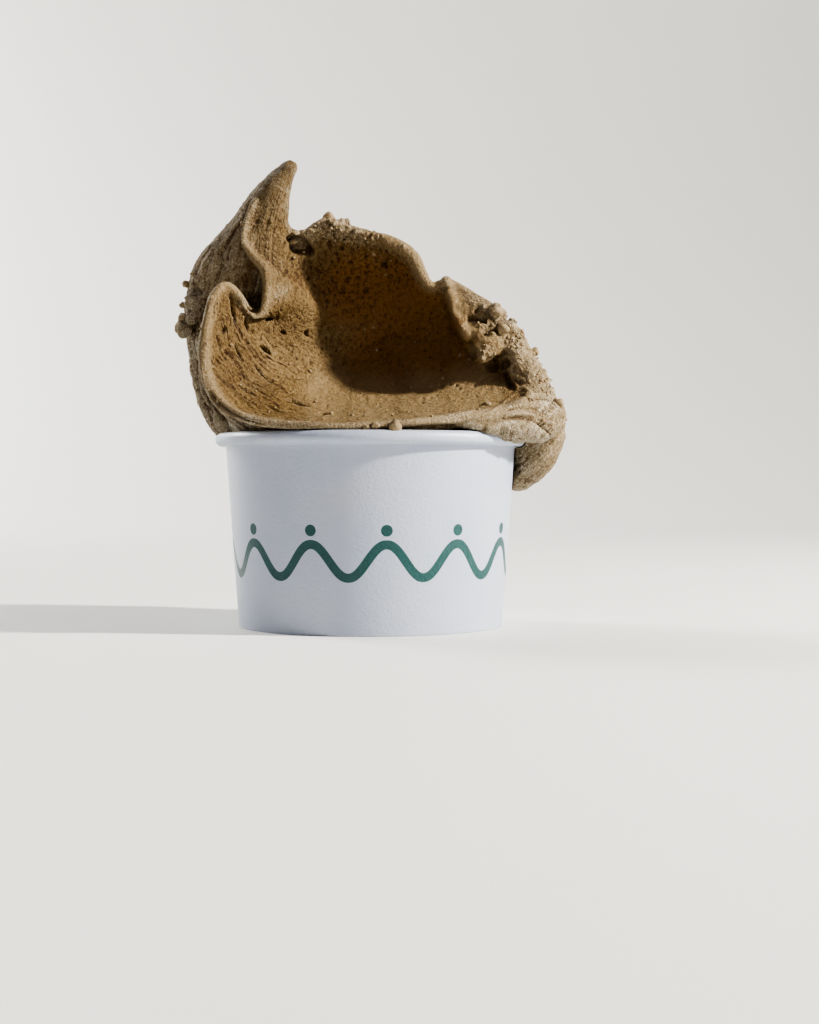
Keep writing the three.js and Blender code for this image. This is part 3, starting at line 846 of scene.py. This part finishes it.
def mark_surface(body):
    """Stores what the finish reads at each point: crest, how far it stands above its surroundings from -1 to
    1, pushed down in the hollow between the lobe and the horn as painted shade; frost, the dry ice grain on
    it; skin, the smooth pale lip, with the torn edge's pale tone and the painted light of the band above the
    front rim, the flap and the right slope; deep, a painted redder shade where the face's shadow falls;
    coarse, the roughest face and the front of the horn, which the finish darkens as painted shade; strokes
    and strands, how strongly the face's short slits and the outside's long drag strands show; and flow, a
    place across and along those strokes and strands."""
    points, normals = points_of(body)
    pairs = edges_of(body)
    near = relaxed(points, pairs, np.full(len(points), 0.7), 6)
    wide = relaxed(near, pairs, np.full(len(points), 0.7), 30)
    crest = ((points - near) * normals).sum(1) / 0.10 + 0.5 * ((near - wide) * normals).sum(1) / 0.30
    seen = in_photograph(points)
    # Painted shade: the hollow between the lobe and the horn is pushed down the crest, so the finish colours
    # it dark
    hollow_shade = spotted(seen, SHADED_HOLLOW_SPOTS) * ramp(points[:, 1], -8, -4) * frontal(normals, -0.1, 0.3)
    crest -= 2.4 * hollow_shade
    behind = ramp(normals[:, 1], 0.0, 0.5)
    crest = np.maximum(crest, 0.6 * behind - 1)
    past_lip, lip_share = lip_surface(points)
    face = face_of(points, normals, seen)
    bowl = face * ramp(past_lip, -0.2, 1.2)
    torn = torn_share(points, seen)
    row = lip_share * len(LIP)
    smooth = np.max([ramp(row, first - 0.8, first + 0.3) * ramp(row, last + 0.8, last - 0.3)
                     for first, last in SMOOTH_ROWS], axis=0)
    skin = ramp(past_lip, 0.25, -0.3) * (0.1 + 0.2 * smooth) * (1 - 0.8 * spotted(seen, RIDGE_SPOTS))
    ahead = frontal(normals, -0.3, 0.1)
    # pale: the torn edge's own paler tone, and painted light on the band above the front rim, the flap and
    # the right slope
    pale = np.max([0.5 * torn, 0.75 * spotted(seen, PAINTED_LIGHT_SPOTS), 0.95 * spotted(seen, PALE_AND_LIT_FLAP_SPOTS) * ahead,
                   0.6 * spotted(seen, PAINTED_LIGHT_SLOPE_SPOTS) * ahead], axis=0)
    patches = 0.5 + 0.5 * layered(points, 9, 2, 80)
    front = frontal(normals, -0.4, 0.1)
    frost = (1 - bowl) * (0.45 + 0.4 * patches) + 0.3 * torn
    frost += 0.6 * (1 - bowl) * front * spotted(seen, FROSTY_SPOTS)
    frost *= 1 - 0.7 * smooth * ramp(past_lip, 1.2, 0.0)
    # Painted shade: less frost on the horn's front and in the hollow between lobe and horn, so both stay
    # darker
    frost *= (1 - 0.7 * front * spotted(seen, SHADED_HORN_SPOTS)) * (1 - hollow_shade)
    # coarse: the roughest face and the horn's front, which the finish darkens as painted shade as well as
    # roughening its grain
    coarse = np.maximum(bowl * spotted(seen, ROUGH_AND_SHADED_SPOTS), front * spotted(seen, SHADED_HORN_SPOTS))
    across, along = face_flow(points, seen)
    outer = np.stack([flow_across(points) / 0.75, points[:, 2] / 11, 30 + 0 * across], 1)
    inner = np.stack([across / 0.62, along / 8.0, 0 * across], 1)
    store(body, "crest", np.clip(crest, -1, 1))
    store(body, "frost", np.clip(frost * (1 - 0.6 * np.maximum(skin, pale)), 0, 1))
    store(body, "skin", np.clip(np.maximum(skin, pale), 0, 1))
    # deep: painted shade, a redder brown where the face's shadow falls
    store(body, "deep", bowl * front * spotted(seen, SHADE_TINT_SPOTS) * (1 - torn))
    store(body, "coarse", coarse)
    store(body, "strokes", bowl * (0.05 + 0.85 * ramp(seen[:, 0], 330, 265)) * ramp(past_lip, 1.0, 3.0))
    store(body, "strands", (1 - face) * ramp(past_lip, 0.2, 1.4) * (1 - 0.55 * behind))
    store(body, "flow", np.where(face[:, None] > 0.5, inner, outer))


def ball(rounds):
    """A unit ball from an icosahedron whose faces are split a number of rounds, as points and faces."""
    g = (1 + 5**0.5) / 2
    points = [[-1, g, 0], [1, g, 0], [-1, -g, 0], [1, -g, 0], [0, -1, g], [0, 1, g],
              [0, -1, -g], [0, 1, -g], [g, 0, -1], [g, 0, 1], [-g, 0, -1], [-g, 0, 1]]
    faces = np.array([[0, 11, 5], [0, 5, 1], [0, 1, 7], [0, 7, 10], [0, 10, 11], [1, 5, 9], [5, 11, 4],
                      [11, 10, 2], [10, 7, 6], [7, 1, 8], [3, 9, 4], [3, 4, 2], [3, 2, 6], [3, 6, 8],
                      [3, 8, 9], [4, 9, 5], [2, 4, 11], [6, 2, 10], [8, 6, 7], [9, 8, 1]])
    points = unit(np.array(points, float))
    for _ in range(rounds):
        a, b, c = faces.T
        sides = np.sort(np.concatenate([faces[:, [0, 1]], faces[:, [1, 2]], faces[:, [2, 0]]]), axis=1)
        sides, place = np.unique(sides, axis=0, return_inverse=True)
        ab, bc, ca = np.split(place.ravel() + len(points), 3)
        points = unit(np.vstack([points, points[sides].mean(1)]))
        quarters = ((a, ab, ca), (b, bc, ab), (c, ca, bc), (ab, bc, ca))
        faces = np.concatenate([np.stack(corners, 1) for corners in quarters])
    return points, faces


def lumps_at(places, sizes, rounds, salt):
    """Uneven little lumps: a ball for each place, stretched by a drawn amount and roughened by noise."""
    shape, faces = ball(rounds)
    draw = np.random.default_rng(salt)
    stretch = draw.uniform(0.75, 1.25, (len(places), 1, 3))
    local = shape[None] * stretch
    apart = local + 7.0 * np.arange(len(places))[:, None, None]
    rough = 1 + 0.22 * noise(apart.reshape(-1, 3), 0.8, salt)
    points = places[:, None] + sizes[:, None, None] * local * rough.reshape(len(places), -1, 1)
    shift = len(shape) * np.arange(len(places))[:, None, None]
    return points.reshape(-1, 3), [(faces[None] + shift).reshape(-1, 3)]


# Larger beads on the lip, the ridge and the left shoulder, by pixel in the photograph, depth and radius, and
# how many small crumbs there are
BEADS = [
    (375, 426, -35.4, 1.15), (395, 428, -35.6, 1.35), (366, 428, -35.3, 0.8), (487, 406, -21, 1.1),
    (316, 246, 5.2, 1.2), (293, 243, 3.6, 0.9), (304, 238, 5.4, 0.8), (330, 222, 6.0, 2.0),
    (181, 328, 5.5, 1.5), (184, 319, 5.0, 1.3), (190, 300, 4.0, 1.2), (186, 285, 5, 0.8),
    (183, 306, 5, 0.9), (193, 275, 4, 0.7), (545, 386, -7, 1.0), (558, 404, -8, 1.2),
    (535, 352, -4, 1.1), (552, 418, -12, 1.1), (528, 404, -15, 1.0), (503, 330, -9, 1.5), (497, 318, -5, 1.9),
]
CRUMBS = 620


def at_pixel(rows):
    """The point in space that shows at a pixel of the photograph when its depth is known."""
    x, y, depth = np.asarray(rows, float)[:, :3].T
    scale = FOCAL_PX / (CAMERA_BACK + depth)
    return np.stack([CAMERA_RIGHT + (x - CENTRE_PX[0]) / scale, depth,
                     CAMERA_UP + (CENTRE_PX[1] - y) / scale], 1)


def loose_crumbs(body):
    """Crumbs scattered over the torn edge, the ridge and, thinly, the outside, each about half sunk."""
    points, normals = points_of(body)
    seen = in_photograph(points)
    above = ramp(points[:, 2], CUP_HEIGHT + 1, CUP_HEIGHT + 3)
    torn = torn_share(points, seen)
    ridge = spotted(seen, RIDGE_SPOTS) * ramp(points[:, 1], 20, 12)
    chance = above * (0.7 * torn + 0.7 * ridge + 0.016 + 0.03 * ramp(seen[:, 0], 265, 225))
    draw = np.random.default_rng(11)
    chosen = draw.choice(len(points), CRUMBS, replace=False, p=chance / chance.sum())
    size = 0.18 + 0.42 * draw.random(CRUMBS) ** 3
    places = points[chosen] + normals[chosen] * size[:, None] * 0.1
    beads = at_pixel(BEADS)
    return new_mesh("gelato_crumbs", [
        lumps_at(places, size, 0, 21),
        lumps_at(beads, np.asarray(BEADS)[:, 3], 3, 22),
    ])


def node(tree, kind, sockets=None, **settings):
    """A shader node with its settings, and with sockets given a value or linked to another socket."""
    made = tree.nodes.new("ShaderNode" + kind)
    for name, value in settings.items():
        setattr(made, name, value)
    for name, value in (sockets or {}).items():
        if isinstance(value, bpy.types.NodeSocket):
            tree.links.new(value, made.inputs[name])
        else:
            made.inputs[name].default_value = value
    return made


def grain_group():
    """A group for every finish here: from a place, a grain size in millimetres and a seed, it puts out a soft
    two-scale grain from 0 to 1 and sparse specks."""
    group = bpy.data.node_groups.new("fine_grain", "ShaderNodeTree")
    for name, kind in (("Place", "Vector"), ("Size", "Float"), ("Seed", "Float")):
        group.interface.new_socket(name, in_out="INPUT", socket_type="NodeSocket" + kind)
    for name in ("Grain", "Specks"):
        group.interface.new_socket(name, in_out="OUTPUT", socket_type="NodeSocketFloat")
    start = group.nodes.new("NodeGroupInput")
    end = group.nodes.new("NodeGroupOutput")
    per_metre = node(group, "Math", {0: 1000.0, 1: start.outputs["Size"]}, operation="DIVIDE")
    coarse = node(group, "TexNoise", {"Vector": start.outputs["Place"], "W": start.outputs["Seed"],
                                      "Scale": per_metre.outputs[0], "Detail": 3.0, "Roughness": 0.62},
                  noise_dimensions="4D")
    cells = node(group, "TexVoronoi", {"Vector": start.outputs["Place"], "W": start.outputs["Seed"],
                                       "Scale": per_metre.outputs[0]}, voronoi_dimensions="4D")
    specks = node(group, "MapRange", {"Value": cells.outputs["Distance"], "From Min": 0.42, "From Max": 0.12})
    group.links.new(coarse.outputs["Fac"], end.inputs["Grain"])
    group.links.new(specks.outputs["Result"], end.inputs["Specks"])
    return group


FINE_GRAIN = grain_group()


def grain(tree, place, size, seed):
    """One use of the grain group in a material."""
    made = tree.nodes.new("ShaderNodeGroup")
    made.node_tree = FINE_GRAIN
    tree.links.new(place, made.inputs["Place"])
    made.inputs["Size"].default_value = size
    made.inputs["Seed"].default_value = seed
    return made


def new_material(name, roughness, specular=0.5):
    """An empty material: its tree, its shader and the object's own coordinates in metres."""
    material = bpy.data.materials.new(name)
    material.use_nodes = True
    tree = material.node_tree
    shader = tree.nodes["Principled BSDF"]
    shader.inputs["Roughness"].default_value = roughness
    shader.inputs["Specular IOR Level"].default_value = specular
    place = node(tree, "TexCoord").outputs["Object"]
    return material, tree, shader, place


def mixed(tree, share, first, second, blend="MIX"):
    """A colour mixed from two colours or sockets by a share."""
    made = node(tree, "Mix", data_type="RGBA", blend_type=blend)
    for index, value in ((0, share), (6, first), (7, second)):
        if isinstance(value, bpy.types.NodeSocket):
            tree.links.new(value, made.inputs[index])
        else:
            made.inputs[index].default_value = value
    return made.outputs[2]


def ranged(tree, value, from_min, from_max, to_min=0.0, to_max=1.0):
    """A value carried from one range to another and held inside it."""
    return node(tree, "MapRange", {"Value": value, "From Min": from_min, "From Max": from_max,
                                   "To Min": to_min, "To Max": to_max}).outputs["Result"]


def sum_of(tree, first, second, operation="ADD"):
    """Two values joined by a Math node."""
    return node(tree, "Math", {0: first, 1: second}, operation=operation).outputs[0]


def times(tree, first, second):
    """The product of two values."""
    return sum_of(tree, first, second, "MULTIPLY")


def less(tree, first, second):
    """The first value less the second."""
    return sum_of(tree, first, second, "SUBTRACT")


def plain(tree, operation, value):
    """A Math operation on one value."""
    return node(tree, "Math", {0: value}, operation=operation).outputs[0]


# Grain sizes of the gelato in millimetres, and its colours, from the painted shade of its hollows to its
# frost
SAND_SIZE = 0.62
ICE_SIZE = 0.34
CLOUD_SIZE = 7.0
HOLLOW_SHADE_BROWN = (0.056, 0.020, 0.003, 1)
COFFEE = (0.153, 0.094, 0.030, 1)
TAN = (0.196, 0.131, 0.052, 1)
# Painted shade: the darker tone of the roughest face
ROUGH_SHADE_DUSK = (0.124, 0.077, 0.026, 1)
# Painted shade: the redder brown of the face where its shadow falls
SHADOW_RUSSET = (0.230, 0.104, 0.021, 1)
SKIN = (0.290, 0.210, 0.112, 1)
HAZE = (0.232, 0.188, 0.122, 1)
FROST = (0.57, 0.51, 0.40, 1)


def gelato_material():
    """Coffee-brown gelato: darker between its grains; darker in its hollows, crevices and slits, a painted
    shade, and tan on its crests, a painted light; redder where the face's shadow falls and darker on the
    roughest face and the horn's front, both painted shade; pale and smooth on the lip and flap, and paler
    where the band above the front rim, the flap and the right slope catch the light, a painted light; greyed
    by frost with white ice grains in it, cut by short slits along the strokes, ribbed by drag strands
    outside, with a grainy bump and a little light through it."""
    material, tree, shader, place = new_material("gelato", 0.6, 0.35)
    crest, frost, skin, deep, coarse, strokes, strands = (
        node(tree, "Attribute", attribute_name=name).outputs["Fac"]
        for name in ("crest", "frost", "skin", "deep", "coarse", "strokes", "strands"))
    flow = node(tree, "Attribute", attribute_name="flow").outputs["Vector"]
    flowing = node(tree, "TexNoise", {"Vector": flow, "Scale": 1.0, "Detail": 2.0, "Roughness": 0.6})
    flowing = flowing.outputs["Fac"]
    slit = times(tree, ranged(tree, flowing, 0.59, 0.66), strokes)
    strand = times(tree, ranged(tree, flowing, 0.3, 0.7, -0.9, 0.9), strands)
    sand = grain(tree, place, SAND_SIZE, 1.0)
    ice = grain(tree, place, ICE_SIZE, 4.0)
    clouds = grain(tree, place, CLOUD_SIZE, 7.0)
    sandiness = times(tree, ranged(tree, skin, 0.5, 1.0, 1.25, 0.3), ranged(tree, coarse, 0, 1, 1.0, 1.35))
    sandy = times(tree, ranged(tree, sand.outputs["Grain"], 0.25, 0.75, -1, 1), sandiness)
    height = sum_of(tree, ranged(tree, crest, -1, 1, -0.8, 0.8), sandy)
    height = sum_of(tree, height, times(tree, strand, 0.8))
    height = less(tree, height, ranged(tree, coarse, 0, 1, 0, 0.35))
    height = less(tree, height, times(tree, slit, 1.5))
    colour = mixed(tree, ranged(tree, clouds.outputs["Grain"], 0.3, 0.7), COFFEE, TAN)
    # Painted light: paler on the crests of the relief
    colour = mixed(tree, ranged(tree, height, -0.1, 1.4, 0, 0.7), colour, SKIN)
    # Painted shade: the roughest face and the horn's front darker
    colour = mixed(tree, ranged(tree, coarse, 0, 1, 0, 0.5), colour, ROUGH_SHADE_DUSK)
    # Painted shade: redder where the face's shadow falls
    colour = mixed(tree, ranged(tree, deep, 0, 1, 0, 0.7), colour, SHADOW_RUSSET)
    # Painted shade: darker in the hollows and slits of the relief
    colour = mixed(tree, ranged(tree, height, -0.15, -1.6), colour, HOLLOW_SHADE_BROWN)
    colour = mixed(tree, skin, colour, SKIN)
    colour = mixed(tree, ranged(tree, frost, 0, 1, 0, 0.75), colour, HAZE)
    colour = mixed(tree, ranged(tree, frost, 0.8, 1.0, 0, 0.12), colour, FROST)
    # Painted shade: darker in the crevices of the frost
    crevice_shade = ranged(tree, times(tree, height, frost), -0.1, -0.9, 0, 0.6)
    colour = mixed(tree, crevice_shade, colour, HOLLOW_SHADE_BROWN)
    icy = sum_of(tree, ranged(tree, ice.outputs["Grain"], 0.50, 0.62), ice.outputs["Specks"], "MAXIMUM")
    icy = times(tree, icy, ranged(tree, height, -0.5, 0.5))
    colour = mixed(tree, times(tree, icy, ranged(tree, frost, 0, 1, 0.04, 0.95)), colour, FROST)
    tree.links.new(colour, shader.inputs["Base Color"])
    rough = ranged(tree, sum_of(tree, frost, sand.outputs["Grain"]), 0.3, 1.4, 0.5, 0.8)
    tree.links.new(rough, shader.inputs["Roughness"])
    specks = times(tree, ice.outputs["Specks"], times(tree, frost, 0.5))
    bumps = sum_of(tree, times(tree, sand.outputs["Grain"], sandiness), specks)
    bumps = less(tree, sum_of(tree, bumps, times(tree, strand, 0.3)), slit)
    bump = node(tree, "Bump", {"Strength": 0.9, "Distance": 0.0006, "Height": bumps})
    tree.links.new(bump.outputs["Normal"], shader.inputs["Normal"])
    shader.inputs["Subsurface Weight"].default_value = 0.12
    shader.inputs["Subsurface Radius"].default_value = (1.0, 0.5, 0.2)
    shader.inputs["Subsurface Scale"].default_value = 0.0010
    return material


gelato = sculpted_gelato()
gelato.name = "gelato_body"
mark_surface(gelato)
crumbs = loose_crumbs(gelato)
for name, value in (("crest", 0.6), ("frost", 0.3), ("skin", 0.8)):
    store(crumbs, name, np.full(len(crumbs.data.vertices), value))
GELATO_FINISH = gelato_material()
for piece in (gelato, crumbs):
    piece.data.materials.clear()
    piece.data.materials.append(GELATO_FINISH)
    piece.data.polygons.foreach_set("use_smooth", np.ones(len(piece.data.polygons), bool))
    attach(piece, "root")
    print(piece.name, "triangles", sum(len(p.vertices) - 2 for p in piece.data.polygons))
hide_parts("gelato")
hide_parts("gelato")

# The tub's sheet: the sides it is turned in, the overlap of its glued seam at the back, and its stripe
TUB_SIDES = 320
SEAM_ANGLE = 90
SEAM_STEP = 0.22
SEAM_FADE = 14
HEM_HEIGHT = 5
HEM_THICKNESS = 1.3
EDGE_ROUND = 0.3
BASE_RISE = 0.2


def rounded(corner, start, end, radius, steps=6):
    """A corner of a section turned into an arc: points from towards start, round, to towards end."""
    corner, start, end = (np.asarray(v, float) for v in (corner, start, end))
    t = np.linspace(0, 1, steps)[:, None]
    first, last = corner + radius * unit(start - corner), corner + radius * unit(end - corner)
    return (1 - t) ** 2 * first + 2 * t * (1 - t) * corner + t**2 * last


def sheet(name, profile, outer):
    """A section turned about the tub's axis from the seam round to the seam, with a UV map that holds turns
    round the axis and height in metres, negative on the inside; outer tells which rows are outside."""
    share = np.concatenate([[0, 0.0002], np.linspace(0.001, 1, TUB_SIDES)[:-1]])
    angle = np.radians(SEAM_ANGLE) + 2 * np.pi * share
    profile = np.asarray(profile, float)
    arc = 2 * np.pi * RIM_RADIUS * share
    lift = SEAM_STEP * ramp(arc, 0, 0.12) * ramp(arc, SEAM_FADE, 0.2) * outer[:, None]
    radius = profile[:, :1] + lift
    height = profile[:, 1:] + 0 * angle
    points = np.stack([radius * np.cos(angle), radius * np.sin(angle), height], -1)
    rows, sides = radius.shape
    quads = wrapped_quads(rows, sides)
    obj = new_mesh(name, [(points.reshape(-1, 3), [quads])])
    turns = np.broadcast_to(share, radius.shape)
    side_of = np.broadcast_to(np.where(outer > 0, 1.0, -1.0)[:, None], radius.shape)
    at_seam = np.tile(np.arange(sides) == sides - 1, rows)
    corner_turn = turns.ravel()[quads]
    corner_turn = np.where(at_seam[:, None] & (corner_turn < 0.5), 1.0, corner_turn)
    corner_height = (height * side_of * MM).ravel()[quads]
    layer = obj.data.uv_layers.new(name="wrap")
    layer.data.foreach_set("uv", np.stack([corner_turn, corner_height], -1).astype(np.float32).ravel())
    obj.data.polygons.foreach_set("use_smooth", np.ones(len(quads), bool))
    return obj


def tub_wall():
    """The side wall: folded hem, cone, rolled bead and inner face."""
    def hem_inside(z):
        return wall_radius(z) - HEM_THICKNESS
    foot_out, foot_in = [FOOT_RADIUS, 0], [hem_inside(0), 0]
    hem_top = [hem_inside(HEM_HEIGHT), HEM_HEIGHT]
    cone = np.linspace([FOOT_RADIUS, 0], [WALL_TOP_RADIUS, WALL_TOP_Z], 24)[1:-1]
    inner_top = [wall_radius(WALL_TOP_Z) - PAPER, WALL_TOP_Z]
    step_in = [wall_radius(HEM_HEIGHT) - PAPER, HEM_HEIGHT + 0.01]
    sections = [
        rounded(foot_out, foot_in, [WALL_TOP_RADIUS, WALL_TOP_Z], EDGE_ROUND),
        cone,
        rounded([WALL_TOP_RADIUS, WALL_TOP_Z + 0.1], foot_out, bead_arc(BEAD_RADIUS, -100, -90, 2)[0], 0.25),
        bead_arc(BEAD_RADIUS, -100, 180, 40),
        np.array([inner_top, step_in]),
        rounded(hem_top, step_in, foot_in, EDGE_ROUND),
        rounded(foot_in, hem_top, foot_out, EDGE_ROUND),
    ]
    count = len(sections[0]) + len(sections[1]) + len(sections[2]) + len(sections[3])
    profile = np.vstack(sections)
    outer = (np.arange(len(profile)) < count).astype(float)
    return sheet("tub_wall", profile, outer)


def tub_base():
    """The base disc, pressed up a little inside a ring near its edge."""
    low, high = HEM_HEIGHT + GAP, HEM_HEIGHT + GAP + PAPER
    edge = wall_radius(low) - PAPER - GAP
    pressed = low + BASE_RISE
    under = [[0.01, pressed], [edge - 5, pressed], [edge - 4, low + 0.12], [edge - 3.2, low], [edge, low]]
    over = [[edge, high], [0.01, high]]
    profile = np.array(under + over)
    return sheet("tub_base", profile, np.zeros(len(profile)))


# The stripe round the tub: a wave and a dot over each trough, in turns round the axis and metres of height
WAVES = 12
WAVE_HEIGHT = 0.0172
WAVE_SWING = 0.0038
STROKE = 0.0021
DOT_HEIGHT = 0.0242
DOT_RADIUS = 0.00135
INK_EDGE = 0.00005
TUB_GIRTH = 2 * math.pi * 0.0336
# The board's colours: white board greyed and tinted blue, a painted shade for the dim, cool light on the tub
BOARD_SHADED_WHITE = (0.42, 0.475, 0.585, 1)
BOARD_SHADED_WARM = (0.47, 0.505, 0.59, 1)
TEAL = (0.014, 0.088, 0.085, 1)
TEAL_DEEP = (0.009, 0.068, 0.068, 1)


def stripe(tree):
    """1 on the printed wave and dots and 0 elsewhere: the wave is where the height is within half a stroke
    of a sine of the turns, its slope allowed for; a dot is where the distance to its middle is within a
    radius."""
    wrap = node(tree, "SeparateXYZ", {0: node(tree, "UVMap", uv_map="wrap").outputs[0]})
    turns, height = wrap.outputs["X"], wrap.outputs["Y"]
    phase = times(tree, turns, 2 * math.pi * WAVES)
    swing = times(tree, plain(tree, "SINE", phase), WAVE_SWING)
    slope = times(tree, plain(tree, "COSINE", phase), WAVE_SWING * 2 * math.pi * WAVES / TUB_GIRTH)
    steep = plain(tree, "SQRT", sum_of(tree, times(tree, slope, slope), 1.0))
    off_line = plain(tree, "ABSOLUTE", less(tree, less(tree, height, WAVE_HEIGHT), swing))
    off_line = sum_of(tree, off_line, steep, "DIVIDE")
    wave = ranged(tree, off_line, STROKE / 2 + INK_EDGE, STROKE / 2 - INK_EDGE)
    across = plain(tree, "FRACT", sum_of(tree, times(tree, turns, WAVES), 0.25))
    across = times(tree, less(tree, across, 0.5), TUB_GIRTH / WAVES)
    up = less(tree, height, DOT_HEIGHT)
    offset = node(tree, "CombineXYZ", {"X": across, "Y": up}).outputs[0]
    gap = node(tree, "VectorMath", {0: offset}, operation="LENGTH").outputs["Value"]
    dot = ranged(tree, gap, DOT_RADIUS + INK_EDGE, DOT_RADIUS - INK_EDGE)
    return sum_of(tree, wave, dot, "MAXIMUM")


def board_material():
    """White coated board, its white greyed and tinted blue as painted shade: a fine tooth under a soft coat,
    faintly uneven in colour and gloss, with the stripe printed in teal ink that lies unevenly at the scale of
    the tooth."""
    material, tree, shader, place = new_material("board", 0.45, 0.5)
    tooth = grain(tree, place, 0.75, 2.0)
    clouds = grain(tree, place, 14.0, 5.0)
    ink = grain(tree, place, 0.6, 8.0)
    paper = mixed(tree, ranged(tree, clouds.outputs["Grain"], 0.3, 0.7), BOARD_SHADED_WHITE, BOARD_SHADED_WARM)
    colour = mixed(tree, ranged(tree, ink.outputs["Grain"], 0.35, 0.65), TEAL, TEAL_DEEP)
    printed = stripe(tree)
    colour = mixed(tree, printed, paper, colour)
    tree.links.new(colour, shader.inputs["Base Color"])
    rough = ranged(tree, sum_of(tree, clouds.outputs["Grain"], tooth.outputs["Grain"]), 0.6, 1.4, 0.36, 0.5)
    tree.links.new(rough, shader.inputs["Roughness"])
    bump = node(tree, "Bump", {"Strength": 1.0, "Distance": 0.00016, "Height": tooth.outputs["Grain"]})
    tree.links.new(bump.outputs["Normal"], shader.inputs["Normal"])
    shader.inputs["Coat Weight"].default_value = 0.25
    shader.inputs["Coat Roughness"].default_value = 0.32
    tree.links.new(bump.outputs["Normal"], shader.inputs["Coat Normal"])
    return material


BOARD_FINISH = board_material()
for piece, solid in ((tub_wall(), "cup_wall"), (tub_base(), "cup_base")):
    piece.data.materials.append(BOARD_FINISH)
    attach(piece, "root")
    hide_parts(solid)

# The camera stands where the photograph's did; its pitch is in degrees and its lens in millimetres
CAMERA_PITCH = 1.15
LENS = 58.5

camera = bpy.data.objects.new("camera", bpy.data.cameras.new("camera"))
camera.data.sensor_fit = "VERTICAL"
camera.data.sensor_height = 36
camera.data.lens = LENS
camera.data.clip_start = 0.01
camera.location = Vector(AXIS) + Vector((CAMERA_RIGHT, -CAMERA_BACK, CAMERA_UP)) * MM
camera.rotation_euler = (math.radians(90 - CAMERA_PITCH), 0, 0)
bpy.context.scene.collection.objects.link(camera)
bpy.context.scene.camera = camera


# The lights: name, direction from the target, distance, side, watts, colour, and the target in metres
HEAP = (0, 0, 0.06)
BACKDROP = (-0.82, 1.1, 0.24)
LIGHTS = [
    ("key", (0.80, -0.20, 0.47), 0.9, 0.065, 14, (1.0, 0.96, 0.88), HEAP),
    ("fill", (0.75, -1.0, 0.30), 1.6, 1.2, 2.4, (0.98, 0.93, 0.94), HEAP),
    ("backdrop_wash", (-0.5, -0.2, 1.0), 0.85, 0.7, 27, (1.0, 1.0, 0.96), BACKDROP),
]
WORLD_COLOUR = (0.95, 0.88, 0.93, 1)
WORLD_STRENGTH = 0.18
EXPOSURE = 0.22


def soft_light(name, direction, distance, size, watts, colour, target):
    """A square area light at a distance in a direction from the target it looks at."""
    light = bpy.data.objects.new(name, bpy.data.lights.new(name, "AREA"))
    light.data.size, light.data.energy, light.data.color = size, watts, colour
    towards = Vector(direction).normalized()
    light.location = Vector(target) + towards * distance
    light.rotation_euler = towards.to_track_quat("Z", "Y").to_euler()
    bpy.context.scene.collection.objects.link(light)


for light_row in LIGHTS:
    soft_light(*light_row)

world = bpy.data.worlds.new("studio")
world.use_nodes = True
world.node_tree.nodes["Background"].inputs["Color"].default_value = WORLD_COLOUR
world.node_tree.nodes["Background"].inputs["Strength"].default_value = WORLD_STRENGTH
bpy.context.scene.world = world
bpy.context.scene.view_settings.view_transform = "AgX"
bpy.context.scene.view_settings.look = "AgX - High Contrast"
bpy.context.scene.view_settings.exposure = EXPOSURE

# The floor's two tones, and the size of their clouds in millimetres
FLOOR_CLOUD = 240.0
FLOOR_DARK = (0.755, 0.755, 0.735, 1)
FLOOR_LIGHT = (0.80, 0.80, 0.78, 1)


def studio_floor():
    """A pale floor that sweeps up behind: a flat stretch, a quarter circle and an upright stretch."""
    half, radius, back = 1.5, 0.5, 0.7
    a = np.radians(np.linspace(0, 90, 24))
    y = np.concatenate([[-2.0], back + radius * np.sin(a), [back + radius]])
    z = np.concatenate([[0.0], radius * (1 - np.cos(a)), [2.5]])
    points = np.stack([np.concatenate([0 * y - half, 0 * y + half]), np.tile(y, 2), np.tile(z, 2)], 1)
    i = np.arange(len(y) - 1)
    quads = np.stack([i, i + len(y), i + len(y) + 1, i + 1], 1)
    floor = new_mesh("floor", [((points - AXIS) / MM, [quads])])
    floor.data.polygons.foreach_set("use_smooth", np.ones(len(quads), bool))
    material = bpy.data.materials.new("floor")
    material.use_nodes = True
    shader = material.node_tree.nodes["Principled BSDF"]
    tree = material.node_tree
    shader.inputs["Roughness"].default_value = 0.6
    clouds = grain(tree, node(tree, "TexCoord").outputs["Object"], FLOOR_CLOUD, 3.0)
    tree.links.new(mixed(tree, clouds.outputs["Grain"], FLOOR_DARK, FLOOR_LIGHT), shader.inputs["Base Color"])
    floor.data.materials.append(material)


studio_floor()
